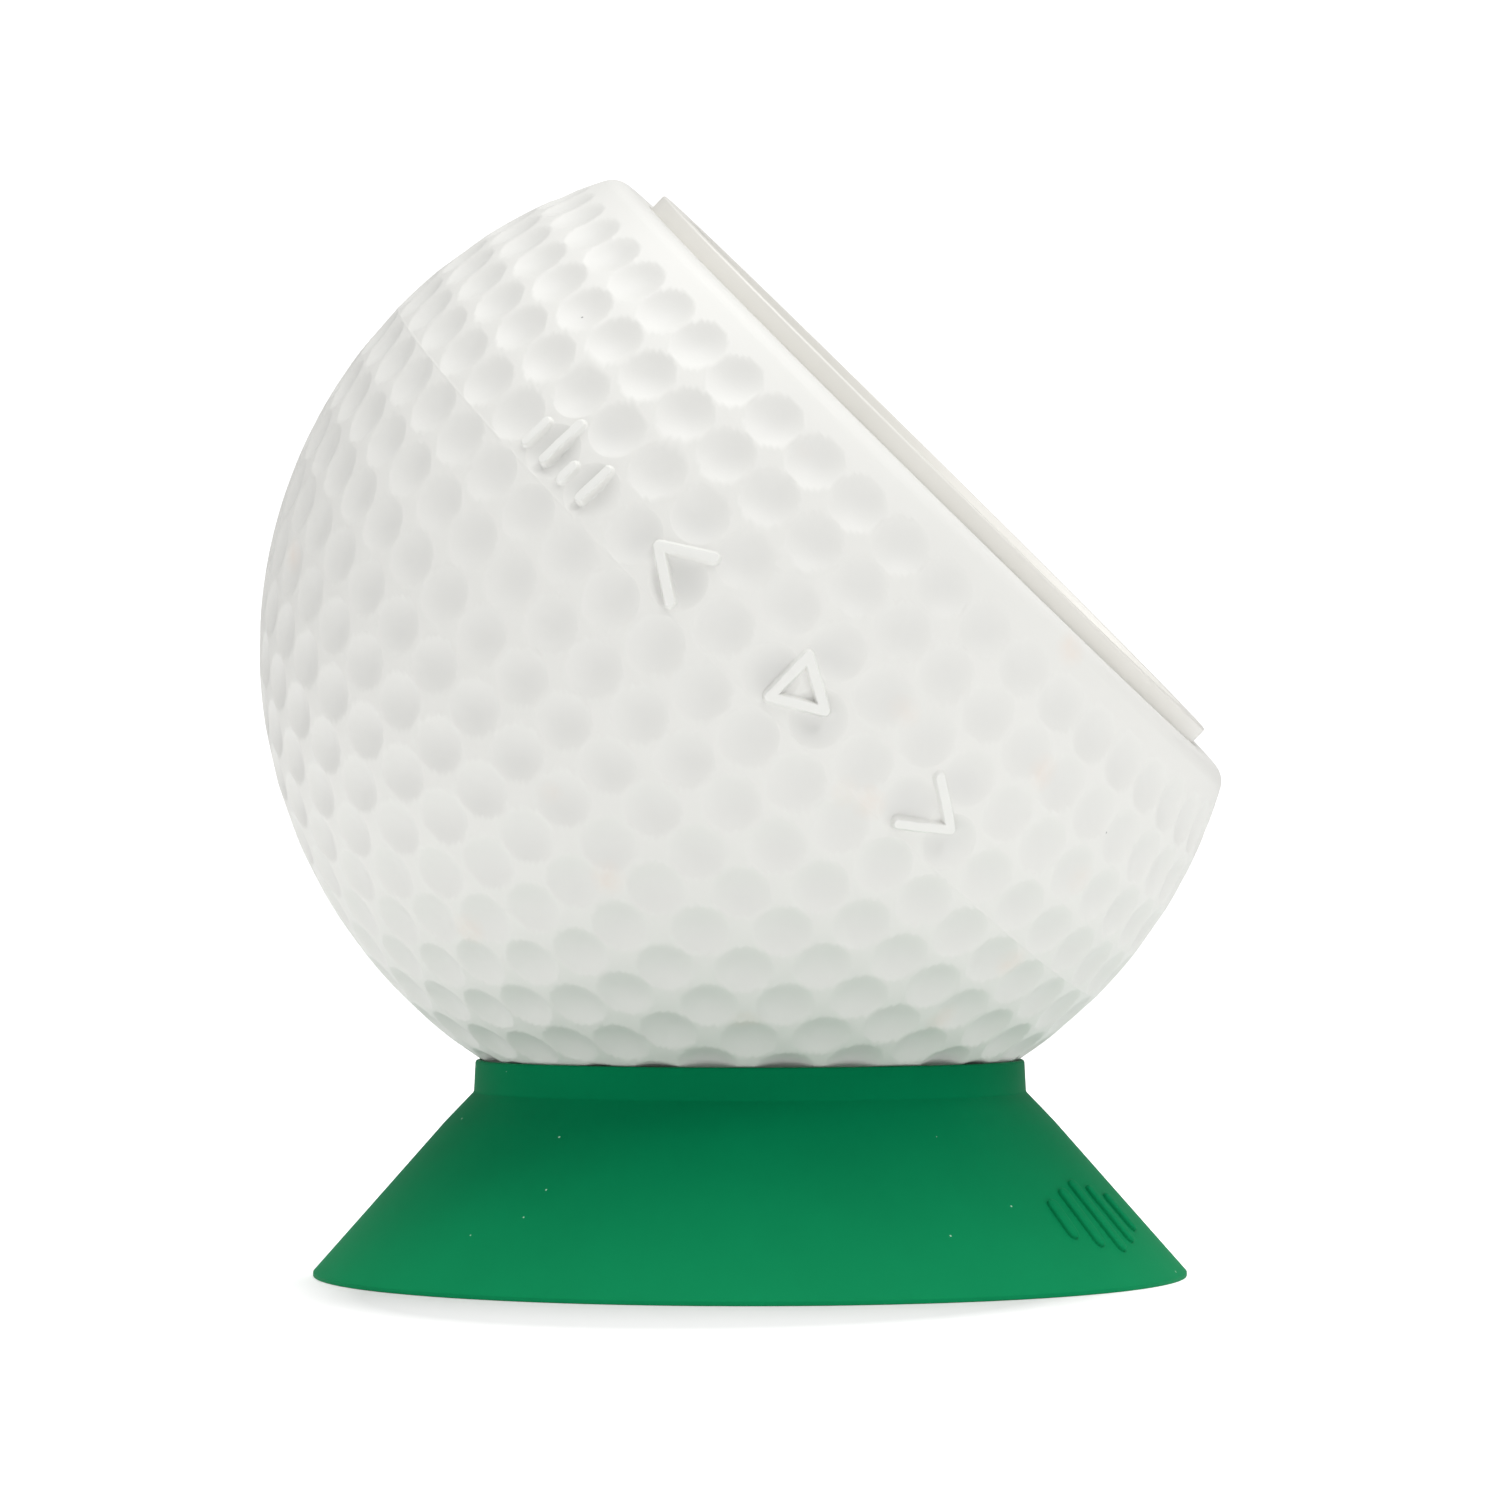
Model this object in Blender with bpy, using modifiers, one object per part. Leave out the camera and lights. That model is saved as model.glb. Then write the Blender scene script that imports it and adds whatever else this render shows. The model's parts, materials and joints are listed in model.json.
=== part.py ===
"""Golf-ball-shaped portable speaker on a suction-cup foot.

World frame: metres, +Z up, the floor at Z = 0. The ball's flat front faces +X and up at 45 degrees.
Lengths below are in millimetres and are turned into metres by the helpers. Pieces of the ball are
modelled in the ball's own frame: origin at its centre, local Z along the front's normal, local -Y
towards the side that carries the keys.
"""

import math

import bmesh
import bpy
from mathutils import Matrix, Vector

MM = 0.001
AXIS_X = 0.85            # the foot's axis stands here, so that the bounding box is centred on the origin
BALL_R = 45.0            # outer radius of the dimpled skin
BALL_Z = 57.3            # height of the ball's centre
FRONT_TILT = 45.0        # the front's normal, degrees from vertical
SKIN_T = 2.4
SHELL_R = 42.3           # outer radius of the hard housing
SHELL_T = 2.2
GAP = 0.3                # clearance between touching pieces
LIP_W = 22.6             # the skin's front lip, measured along the front's normal
LIP_ROUND = 2.3
RING_R = 34.8
RING_PROUD = 1.65
HOUSING_W = 13.4         # top of the rear housing
BAFFLE_W = 14.5          # back of the front baffle
BAFFLE_T = 2.5
LAND_W = 19.9            # the baffle's land, which carries the ring
FLANGE_W = 17.3          # back of the driver's flange
DRIVER_HOLE = 24.5
FOOT_R = 40.0
COLLAR_R = 25.2
COLLAR_TOP = 19.8
SEAT_R = BALL_R + GAP
PLATE_R = 19.7
PLATE_Z = 9.9
PLATE_T = 1.9
STUD_R = 3.175           # quarter-inch thread, modelled plain
STUD_TOP = 23.0
KEYS = {"equaliser": 67.0, "back": 85.0, "play": 104.5, "next": 125.0}    # longitudes, degrees
KEY_LATITUDE = 4.4
KEY_R = 5.6
KEY_BACK = 43.1          # radius of the pad's back
STROKE = 0.8             # width of a raised symbol's line
SYMBOL_PROUD = 0.55
PORT_W, PORT_H = 15.4, 8.4
CELL_R, CELL_L = 9.2, 49.0
CELL_W = -18.0
BOARD_W = -31.4
HINGE_OUT = 44.8         # port cover's hinge, at its outer upper edge, behind the ball's centre
HOUSING_SCREWS = (35.3, 50.0)    # radius of the screws' circle and the angle of the first one
DRIVER_SCREWS = (28.0, 0.0)

OBJECT = "ball_speaker"
COLOURS = {
    "white_silicone": ((0.78, 0.78, 0.76, 1), 0.55, 0.0),
    "green_silicone": ((0.004, 0.19, 0.075, 1), 0.4, 0.0),
    "ivory_plastic": ((0.76, 0.74, 0.69, 1), 0.4, 0.0),
    "black_plastic": ((0.02, 0.02, 0.02, 1), 0.5, 0.0),
    "black_cloth": ((0.015, 0.015, 0.016, 1), 0.95, 0.0),
    "black_rubber": ((0.02, 0.02, 0.021, 1), 0.7, 0.0),
    "paper_cone": ((0.05, 0.05, 0.055, 1), 0.8, 0.0),
    "steel": ((0.55, 0.56, 0.58, 1), 0.3, 1.0),
    "zinc": ((0.4, 0.4, 0.42, 1), 0.45, 1.0),
    "ferrite": ((0.03, 0.03, 0.035, 1), 0.6, 0.2),
    "brass": ((0.75, 0.55, 0.22, 1), 0.3, 1.0),
    "copper": ((0.72, 0.34, 0.18, 1), 0.35, 1.0),
    "circuit_board": ((0.01, 0.11, 0.05, 1), 0.45, 0.0),
    "flex_circuit": ((0.55, 0.25, 0.04, 1), 0.4, 0.0),
    "cell_wrap": ((0.02, 0.12, 0.45, 1), 0.4, 0.0),
    "red_lead": ((0.6, 0.02, 0.02, 1), 0.45, 0.0),
}


def clear_scene():
    for item in list(bpy.data.objects):
        bpy.data.objects.remove(item, do_unlink=True)


def new_collection(name):
    group = bpy.data.collections.new(name)
    bpy.context.scene.collection.children.link(group)
    return group


def material(name):
    """A Principled BSDF with the finish's colour, roughness and metallic value."""
    made = bpy.data.materials.get(name)
    if made:
        return made
    colour, roughness, metallic = COLOURS[name]
    made = bpy.data.materials.new(name)
    made.use_nodes = True
    made.diffuse_color = colour
    shader = made.node_tree.nodes["Principled BSDF"]
    shader.inputs["Base Color"].default_value = colour
    shader.inputs["Roughness"].default_value = roughness
    shader.inputs["Metallic"].default_value = metallic
    return made


def place(piece, parent, group, finish=None, at=(0, 0, 0), turn=(0, 0, 0)):
    """Put a piece in a collection, under its parent, at a place in millimetres and degrees."""
    group.objects.link(piece)
    piece.parent = parent
    piece.location = [v * MM for v in at]
    piece.rotation_euler = [math.radians(a) for a in turn]
    if finish:
        piece.data.materials.append(material(finish))
    return piece


def axis_empty(name, parent, group, at=(0, 0, 0), turn=(0, 0, 0)):
    return place(bpy.data.objects.new(name, None), parent, group, None, at, turn)


def mesh_piece(name, points, edges, faces):
    mesh = bpy.data.meshes.new(name)
    mesh.from_pydata([[v * MM for v in p] for p in points], edges, faces)
    return bpy.data.objects.new(name, mesh)


def arc(radius, start, end, count, centre=(0.0, 0.0)):
    """Points on an arc of the profile plane, angles in degrees from the radial direction."""
    angles = [math.radians(start + (end - start) * i / count) for i in range(count + 1)]
    return [(centre[0] + radius * math.cos(a), centre[1] + radius * math.sin(a)) for a in angles]


def inner_arc(radius, start, end, count):
    """An arc whose chords touch the circle from outside, for the hollow side of a shell."""
    return arc(radius / math.cos(math.radians(end - start) / count / 2), start, end, count)


def on_sphere(radius, height):
    """Distance from the axis of the sphere's circle at a height."""
    return math.sqrt(radius * radius - height * height)


def latitude(radius, height):
    return math.degrees(math.asin(height / radius))


def clockwise(outline):
    """The outline in the order whose outer side runs downwards."""
    area = 0.0
    for (x0, z0), (x1, z1) in zip(outline, outline[1:] + outline[:1]):
        area += x0 * z1 - x1 * z0
    return outline if area < 0 else outline[::-1]


def turned(name, outline, steps=32):
    """A solid of revolution about local Z. An outline that meets the axis is left open there."""
    points = clockwise(outline)
    on_axis = [i for i, p in enumerate(points) if abs(p[0]) < 1e-6]
    closed = not on_axis
    if on_axis:
        after = next(i for i in on_axis if (i - 1) % len(points) in on_axis)
        points = points[after:] + points[:after]
    count = len(points)
    edges = [(i, (i + 1) % count) for i in range(count if closed else count - 1)]
    piece = mesh_piece(name, [(x, 0, z) for x, z in points], edges, [])
    screw = piece.modifiers.new("turn", "SCREW")
    screw.steps = steps
    screw.render_steps = steps
    screw.use_merge_vertices = True
    screw.merge_threshold = 1e-6
    screw.use_smooth_shade = True
    return piece


def box(name, size, centre=(0, 0, 0)):
    mesh = bpy.data.meshes.new(name)
    shape = bmesh.new()
    bmesh.ops.create_cube(shape, size=1.0)
    bmesh.ops.scale(shape, vec=[s * MM for s in size], verts=shape.verts)
    bmesh.ops.translate(shape, vec=[c * MM for c in centre], verts=shape.verts)
    shape.to_mesh(mesh)
    shape.free()
    return bpy.data.objects.new(name, mesh)


def cylinder(name, radius, low, high, sides=16):
    """A capped cylinder along local Z between two heights."""
    mesh = bpy.data.meshes.new(name)
    shape = bmesh.new()
    bmesh.ops.create_cone(shape, cap_ends=True, segments=sides, radius1=radius * MM,
                          radius2=radius * MM, depth=(high - low) * MM)
    bmesh.ops.translate(shape, vec=(0, 0, (low + high) / 2 * MM), verts=shape.verts)
    shape.to_mesh(mesh)
    shape.free()
    return bpy.data.objects.new(name, mesh)


def prism(name, outline, low, high):
    """A closed outline in the local XY plane, extruded from one height to another."""
    mesh = bpy.data.meshes.new(name)
    shape = bmesh.new()
    ring = [shape.verts.new((x * MM, y * MM, low * MM)) for x, y in outline]
    base = shape.faces.new(ring)
    grown = bmesh.ops.extrude_face_region(shape, geom=[base])
    moved = [v for v in grown["geom"] if isinstance(v, bmesh.types.BMVert)]
    bmesh.ops.translate(shape, vec=(0, 0, (high - low) * MM), verts=moved)
    bmesh.ops.recalc_face_normals(shape, faces=shape.faces)
    shape.to_mesh(mesh)
    shape.free()
    return bpy.data.objects.new(name, mesh)


def boolean(piece, other, operation, parent, at=(0, 0, 0), turn=(0, 0, 0)):
    """Cut, join or keep the common part of a piece and a hidden guide."""
    place(other, parent, CUTTERS, None, at, turn)
    other.hide_render = True
    other.display_type = "WIRE"
    change = piece.modifiers.new(operation.lower(), "BOOLEAN")
    change.operation = operation
    change.object = other
    change.solver = "EXACT"


def tube(name, points, radius):
    """A round lead along a smooth curve through the given points."""
    knots = [Vector(p) for p in points]
    ends = [knots[0] * 2 - knots[1], *knots, knots[-1] * 2 - knots[-2]]
    path = []
    for a, b, c, d in zip(ends, ends[1:], ends[2:], ends[3:]):
        for step in range(4):
            t = step / 4
            path.append(0.5 * (2 * b + (c - a) * t + (2 * a - 5 * b + 4 * c - d) * t * t
                               + (3 * b - a - 3 * c + d) * t ** 3))
    path.append(knots[-1])
    curve = bpy.data.curves.new(name, "CURVE")
    curve.dimensions = "3D"
    curve.bevel_depth = radius * MM
    curve.bevel_resolution = 1
    curve.use_fill_caps = True
    spline = curve.splines.new("POLY")
    spline.points.add(len(path) - 1)
    for knot, p in zip(spline.points, path):
        knot.co = (p.x * MM, p.y * MM, p.z * MM, 1)
    return bpy.data.objects.new(name, curve)


def strip(name, path, side, width, thickness):
    """A flat band: the path swept sideways by its width, with Solidify for its thickness."""
    half = Vector(side).normalized() * width / 2
    points = [Vector(p) - half for p in path] + [Vector(p) + half for p in path]
    count = len(path)
    faces = [(i, i + 1, count + i + 1, count + i) for i in range(count - 1)]
    piece = mesh_piece(name, points, [], faces)
    wall = piece.modifiers.new("wall", "SOLIDIFY")
    wall.thickness = thickness * MM
    wall.offset = 0.0
    return piece


def key_direction(longitude, lat=KEY_LATITUDE):
    """Unit vector in the ball's frame; longitude 0 is the raised back edge, 90 the keys' side."""
    lon, lat = math.radians(longitude), math.radians(lat)
    return Vector((-math.cos(lat) * math.cos(lon), -math.cos(lat) * math.sin(lon), math.sin(lat)))


def key_turn(longitude):
    """Rotation whose Z points out at a key, whose X runs along the row and whose Y faces the front."""
    out = key_direction(longitude)
    along = Vector((0, 0, 1)).cross(out).normalized()
    up = out.cross(along)
    return Matrix((along, up, out)).transposed().to_euler()


def key_axis(name, longitude, ball):
    empty = bpy.data.objects.new(name, None)
    PARTS.objects.link(empty)
    empty.parent = ball
    empty.location = key_direction(longitude) * BALL_R * MM
    empty.rotation_euler = key_turn(longitude)
    return empty


# ---------------------------------------------------------------- the foot

def seat_height(radius):
    """Height of the cup's seat, which follows the ball, at a distance from the axis."""
    return BALL_Z - on_sphere(SEAT_R + 0.05, radius)


def build_foot(foot):
    """The suction cup with its collar and seat, the stiff plate in it and the threaded stud."""
    seat = [(r, seat_height(r)) for r in (24.9, 23.5, 22.0, 20.2, 18.2)]
    pocket = [(18.2, PLATE_Z + PLATE_T + GAP), (PLATE_R + GAP, PLATE_Z + PLATE_T + GAP),
              (PLATE_R + GAP, PLATE_Z - GAP), (6.2, PLATE_Z - GAP), (6.2, 7.8), (0, 7.8)]
    hollow = [(0, 6.3), (27.0, 6.3), (31.5, 5.4), (38.6, 0.0)]
    outside = [(FOOT_R, 0.0), (FOOT_R, 0.3), (27.8, 14.1), (26.3, 15.6), (COLLAR_R, 16.7),
               (COLLAR_R, COLLAR_TOP - 0.5)]
    cup = turned("suction_cup", seat + pocket + hollow + outside, 36)
    place(cup, foot, PARTS, "green_silicone")

    top = PLATE_Z + PLATE_T
    plate = turned("base_plate", [(STUD_R + GAP, top), (PLATE_R, top), (PLATE_R, PLATE_Z),
                                  (STUD_R + GAP, PLATE_Z)], 32)
    place(plate, foot, PARTS, "black_plastic")
    stud = turned("base_stud", [(0, STUD_TOP), (STUD_R - 0.6, STUD_TOP), (STUD_R, STUD_TOP - 0.6),
                                (STUD_R, PLATE_Z - GAP - 0.01), (5.8, PLATE_Z - GAP - 0.01),
                                (5.8, 8.1), (0, 8.1)], 16)
    place(stud, foot, PARTS, "zinc")


# ---------------------------------------------------------------- the ball's shells

def build_skin(ball):
    """The silicone skin: a thick sphere with a round-edged front lip and openings."""
    inner = BALL_R - SKIN_T
    lip_in = RING_R + GAP
    floor = LAND_W + GAP
    edge = on_sphere(BALL_R, LIP_W - 1.2)
    outline = inner_arc(inner, -90, latitude(inner, floor), 8)
    outline += [(lip_in, floor), (lip_in, LIP_W), (edge - LIP_ROUND, LIP_W), (edge - 0.7, LIP_W - 0.35)]
    outline += arc(BALL_R, latitude(BALL_R, LIP_W - 1.2), -90, 12)
    outline = [(max(x, 0.0) if abs(x) > 1e-4 else 0.0, z) for x, z in outline]
    skin = turned("ball_skin", outline, 32)
    place(skin, ball, PARTS, "white_silicone")
    boolean(skin, cylinder("bottom_hole", 12.0, 36.0, 50.0, 20), "DIFFERENCE", ball,
            turn=(0, 180 - FRONT_TILT, 0))
    boolean(skin, box("port_hole", (12.0, PORT_W + 2 * GAP, PORT_H + 2 * GAP), (-44.0, 0, 0)),
            "DIFFERENCE", ball, turn=(0, -FRONT_TILT, 0))
    for name, axis in KEY_AXES.items():
        hole = cylinder(f"{name}_key_hole", KEY_R + GAP, -6.0, 4.0, 20)
        boolean(skin, hole, "DIFFERENCE", axis)


def build_housing(ball):
    """The rear bowl with its screw bosses, its threaded boss, and holes for the keys and the port."""
    inner = SHELL_R - SHELL_T
    outline = inner_arc(inner, -90, latitude(inner, HOUSING_W), 8)
    outline += arc(SHELL_R, latitude(SHELL_R, HOUSING_W), -90, 9)
    outline = [(x if abs(x) > 1e-4 else 0.0, z) for x, z in outline]
    bowl = turned("rear_housing", outline, 32)
    place(bowl, ball, PARTS, "black_plastic")
    down = (0, 180 - FRONT_TILT, 0)
    boolean(bowl, cylinder("stud_boss", 8.0, 30.0, 41.3, 16), "UNION", ball, turn=down)
    boolean(bowl, cylinder("stud_bore", 4.8, 28.0, 46.0, 16), "DIFFERENCE", ball, turn=down)
    for number, (x, y) in enumerate(screw_places(*HOUSING_SCREWS), 1):
        at = (x, y, 0)
        boolean(bowl, cylinder(f"boss_{number}", 3.4, 4.0, HOUSING_W - 0.05, 12), "UNION", ball, at)
        boolean(bowl, cylinder(f"pilot_{number}", 1.6, 5.5, 16.0, 8), "DIFFERENCE", ball, at)
    boolean(bowl, box("socket_hole", (12.0, 10.0, 4.2), (-41.0, 0, 0)), "DIFFERENCE", ball,
            turn=(0, -FRONT_TILT, 0))
    for name, axis in KEY_AXES.items():
        boolean(bowl, cylinder(f"{name}_plunger_hole", 2.5, -9.0, 1.0, 12), "DIFFERENCE", axis)

    low, high = HOUSING_W + GAP, BAFFLE_W - GAP
    gasket = turned("housing_gasket", [(38.7, high), (39.8, high), (39.8, low), (38.7, low)], 32)
    place(gasket, ball, PARTS, "black_rubber")
    insert = turned("threaded_insert", [(STUD_R + GAP, 41.0), (4.5, 41.0), (4.5, 33.0),
                                        (STUD_R + GAP, 33.0)], 16)
    place(insert, ball, PARTS, "brass", turn=down)


def screw_places(radius, start):
    """Four places on a circle about the front's axis."""
    angles = [math.radians(start + 90.0 * i) for i in range(4)]
    return [(radius * math.cos(a), radius * math.sin(a)) for a in angles]


def build_front(ball):
    """The baffle, its screws, the ring round the grille, the grille and the cloth behind it."""
    inner = 31.6
    outline = arc(SHELL_R, latitude(SHELL_R, BAFFLE_W), latitude(SHELL_R, LAND_W), 3)
    outline += [(inner, LAND_W), (inner, BAFFLE_W + BAFFLE_T), (DRIVER_HOLE, BAFFLE_W + BAFFLE_T),
                (DRIVER_HOLE, BAFFLE_W)]
    baffle = turned("front_baffle", outline, 28)
    place(baffle, ball, PARTS, "black_plastic")
    for number, (x, y) in enumerate(screw_places(*HOUSING_SCREWS), 1):
        at = (x, y, 0)
        boolean(baffle, cylinder(f"clear_{number}", 1.6, 12.0, 22.0, 8), "DIFFERENCE", ball, at)
        boolean(baffle, cylinder(f"sink_{number}", 3.0, 17.4, 22.0, 12), "DIFFERENCE", ball, at)
        add_screw(f"housing_screw_{number}", ball, at, 17.7, 10.0)
    for number, (x, y) in enumerate(screw_places(*DRIVER_SCREWS), 1):
        at = (x, y, 0)
        boolean(baffle, cylinder(f"driver_pilot_{number}", 1.6, 12.0, 22.0, 8), "DIFFERENCE", ball, at)
        add_screw(f"driver_screw_{number}", ball, at, FLANGE_W + 1.5, 4.0)

    top = LIP_W + RING_PROUD
    base = LAND_W + GAP
    ring = turned("front_ring", [(31.5, top), (RING_R - 0.15, top), (RING_R, top - 0.15), (RING_R, base),
                                 (31.0, base), (31.0, top - 0.5)], 36)
    place(ring, ball, PARTS, "ivory_plastic")
    grille = turned("grille", [(0, 23.6), (20.0, 23.2), (30.7, 22.6), (30.7, 21.9), (20.0, 22.4),
                               (0, 22.8)], 32)
    place(grille, ball, PARTS, "ivory_plastic")
    for number, (radius, count) in enumerate(((8.0, 6), (16.0, 10), (24.0, 14))):
        cutter = hole_circle(f"grille_holes_{number}", radius, count)
        boolean(grille, cutter, "DIFFERENCE", ball)
    cloth = turned("grille_cloth", [(0, 21.5), (30.7, 21.5), (30.7, 21.2), (0, 21.2)], 24)
    place(cloth, ball, PARTS, "black_cloth")


def hole_circle(name, radius, count):
    """Guide for a circle of small round holes."""
    mesh = bpy.data.meshes.new(name)
    shape = bmesh.new()
    for i in range(count):
        angle = 2 * math.pi * i / count
        place_at = Matrix.Translation((radius * MM * math.cos(angle), radius * MM * math.sin(angle),
                                       22.7 * MM))
        bmesh.ops.create_cone(shape, cap_ends=True, segments=6, radius1=2.0 * MM, radius2=2.0 * MM,
                              depth=4.0 * MM, matrix=place_at)
    shape.to_mesh(mesh)
    shape.free()
    return bpy.data.objects.new(name, mesh)


def add_screw(name, ball, at, seat, length):
    """A pan-head screw whose head rests at a height and whose shank runs down from it."""
    outline = [(0, seat + 1.6), (1.6, seat + 1.6), (2.5, seat + 0.9), (2.5, seat), (1.25, seat),
               (1.25, seat - length), (0, seat - length)]
    place(turned(name, outline, 10), ball, PARTS, "zinc", at)


# ---------------------------------------------------------------- the loudspeaker driver

def build_driver(ball, cone_axis):
    """A two-inch driver: basket, motor and the moving cone on its own axis."""
    back = 4.6
    basket = [(30.6, FLANGE_W + 1.2), (30.6, FLANGE_W), (24.1, FLANGE_W), (21.8, 10.0), (15.0, back),
              (7.6, back), (7.6, back + 0.9), (14.6, back + 0.9), (21.0, 10.6), (23.0, FLANGE_W + 0.6),
              (23.0, FLANGE_W + 1.2)]
    frame = turned("driver_frame", basket, 24)
    place(frame, ball, PARTS, "steel")
    for number, (x, y) in enumerate(screw_places(*DRIVER_SCREWS), 1):
        hole = cylinder(f"flange_hole_{number}", 1.6, 16.0, 20.0, 8)
        boolean(frame, hole, "DIFFERENCE", ball, (x, y, 0))
    place(turned("top_plate", [(7.6, 4.3), (14.0, 4.3), (14.0, 1.0), (7.6, 1.0)], 24), ball, PARTS, "zinc")
    place(turned("magnet", [(9.6, 0.7), (15.5, 0.7), (15.5, -4.4), (9.6, -4.4)], 24), ball, PARTS,
          "ferrite")
    yoke = [(0, 4.3), (6.1, 4.3), (6.1, -4.7), (14.0, -4.7), (14.0, -7.2), (0, -7.2)]
    place(turned("yoke", yoke, 24), ball, PARTS, "zinc")
    surround = [(22.6, 17.6), (22.6, 17.1), (21.9, 18.2), (20.6, 18.9), (19.3, 18.2), (18.6, 17.1),
                (18.2, 17.1), (18.2, 17.6), (19.0, 18.8), (20.6, 19.5), (22.2, 18.8)]
    place(turned("driver_surround", surround, 20), cone_axis, PARTS, "black_rubber")
    place(turned("driver_cone", [(17.9, 17.4), (17.9, 16.9), (8.3, 9.6), (7.5, 9.6), (7.5, 10.3)], 20),
          cone_axis, PARTS, "paper_cone")
    place(turned("dust_cap", [(0, 13.0), (4.5, 12.4), (7.6, 10.9), (7.2, 10.6), (4.3, 11.9), (0, 12.5)],
                 24), cone_axis, PARTS, "paper_cone")
    place(turned("voice_coil", [(6.5, 10.0), (7.1, 10.0), (7.1, 1.5), (6.5, 1.5)], 20), cone_axis, PARTS,
          "copper")
    spider = [(7.4, 7.2), (9.0, 7.7), (11.0, 7.2), (13.0, 7.7), (15.0, 7.2), (15.0, 6.8), (13.0, 7.3),
              (11.0, 6.8), (9.0, 7.3), (7.4, 6.8)]
    place(turned("spider", spider, 16), cone_axis, PARTS, "flex_circuit")


# ---------------------------------------------------------------- keys

def symbol_strokes(name):
    """The raised symbol's straight lines, each a pair of points in the key's own plane."""
    back = [((2.2, 2.9), (-2.2, 0.0)), ((-2.2, 0.0), (2.2, -2.9))]
    play = [((-2.6, 3.0), (2.8, 0.0)), ((2.8, 0.0), (-2.6, -3.0)), ((-2.6, -3.0), (-2.6, 3.0))]
    onward = [((-2.2, 2.9), (2.2, 0.0)), ((2.2, 0.0), (-2.2, -2.9))]
    bars = [((x, -2.6), (x, top)) for x, top in ((-3.6, 0.6), (-1.2, 2.6), (1.2, -0.4), (3.6, 1.6))]
    return {"equaliser": bars, "back": back, "play": play, "next": onward}[name]


def stroke_outline(start, end, width):
    """A line with square ends, as a four-cornered outline."""
    a, b = Vector(start), Vector(end)
    along = (b - a).normalized() * width / 2
    across = Vector((-along.y, along.x))
    corners = (a - along - across, b + along - across, b + along + across, a - along + across)
    return [(p.x, p.y) for p in corners]


def build_keys(ball):
    """Four keys in the skin, each with its plunger, over a switch on the curved flexible circuit."""
    back = KEY_BACK - BALL_R
    for name, axis in KEY_AXES.items():
        dome = [(0.0, 0.0), (3.0, -0.1), (KEY_R, on_sphere(BALL_R, KEY_R) - BALL_R)]
        under = [(KEY_R, on_sphere(KEY_BACK, KEY_R) - BALL_R), (0.0, back)]
        pad = turned(f"{name}_key", dome + under, 20)
        place(pad, axis, PARTS, "white_silicone")
        for part, (start, end) in enumerate(symbol_strokes(name)):
            outline = stroke_outline(start, end, STROKE + 0.01 * part)
            line = prism(f"{name}_symbol_{part}", outline, -0.9, SYMBOL_PROUD - 0.013 * part)
            boolean(pad, line, "UNION", axis)
        plunger = cylinder(f"{name}_plunger", 1.9, -4.2, back - GAP, 10)
        place(plunger, axis, PARTS, "black_plastic")
        place(key_switch(f"{name}_switch"), axis, PARTS, "black_plastic")

    arc_lons = [60.0 + 8.0 * i for i in range(10)]
    tilt = Vector((0, 0, 1))
    flex = strip("key_flex", [key_direction(a) * 36.5 for a in arc_lons], tilt, 7.0, 0.3)
    place(flex, ball, PARTS, "flex_circuit")
    carrier = strip("key_carrier", [key_direction(a) * 35.2 for a in arc_lons], tilt, 8.0, 1.4)
    place(carrier, ball, PARTS, "black_plastic")


def key_switch(name):
    """A tactile switch: a square body with a round button."""
    outline = [(0, -5.1), (1.1, -5.1), (1.1, -6.0), (2.9, -6.0), (2.9, -7.8), (0, -7.8)]
    return turned(name, outline, 8)


# ---------------------------------------------------------------- power, boards and leads

def build_power(ball):
    """The cell in its cradle, the main board with its two packages, and the charging port."""
    cell = turned("battery_cell", [(0, CELL_L / 2 + 0.6), (2.6, CELL_L / 2 + 0.6), (2.6, CELL_L / 2),
                                   (CELL_R, CELL_L / 2), (CELL_R, -CELL_L / 2), (0, -CELL_L / 2)], 20)
    place(cell, ball, PARTS, "cell_wrap", (0, 0, CELL_W), (90, 0, 0))
    half = [(CELL_R + GAP + 1.5, 180, 360), (CELL_R + GAP, 360, 180)]
    trough = [p for radius, start, end in half for p in arc(radius, start, end, 10)]
    cradle = prism("battery_cradle", trough, -20.0, 20.0)
    place(cradle, ball, PARTS, "black_plastic", (0, 0, CELL_W), (90, 0, 0))

    place(box("main_board", (34.0, 28.0, 1.6)), ball, PARTS, "circuit_board", (-1, 0, BOARD_W + 0.8))
    place(box("sound_chip", (8.0, 8.0, 1.0)), ball, PARTS, "black_plastic", (6, 2, BOARD_W - 0.8))
    place(box("radio_module", (9.0, 13.0, 1.8)), ball, PARTS, "zinc", (-8, -2, BOARD_W - 1.2))

    back = (0, -FRONT_TILT, 0)
    port = axis_empty("port_axis", ball, PARTS, turn=back)
    place(box("port_board", (1.2, 16.0, 10.0), (-31.9, 0, 0)), port, PARTS, "circuit_board")
    socket = box("usb_socket", (7.6, 8.9, 3.2), (-36.6, 0, 0))
    place(socket, port, PARTS, "steel")
    boolean(socket, box("usb_mouth", (6.0, 7.7, 2.2), (-38.9, 0, 0)), "DIFFERENCE", port)
    return port


def build_port_cover(port):
    """A silicone flap that follows the ball, hinged along the upper edge of its outer side."""
    hinge = axis_empty("port_cover_hinge", port, PARTS, (-HINGE_OUT, 0, PORT_H / 2))
    outline = arc(43.2, -12, 12, 6) + arc(BALL_R - 0.02, 12, -12, 6)
    shell = turned("port_cover", outline, 40)
    place(shell, hinge, PARTS, "white_silicone", (HINGE_OUT, 0, -PORT_H / 2))
    limit = box("port_cover_limit", (6.0, PORT_W, PORT_H), (-44.0, 0, 0))
    boolean(shell, limit, "INTERSECT", port)


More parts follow.
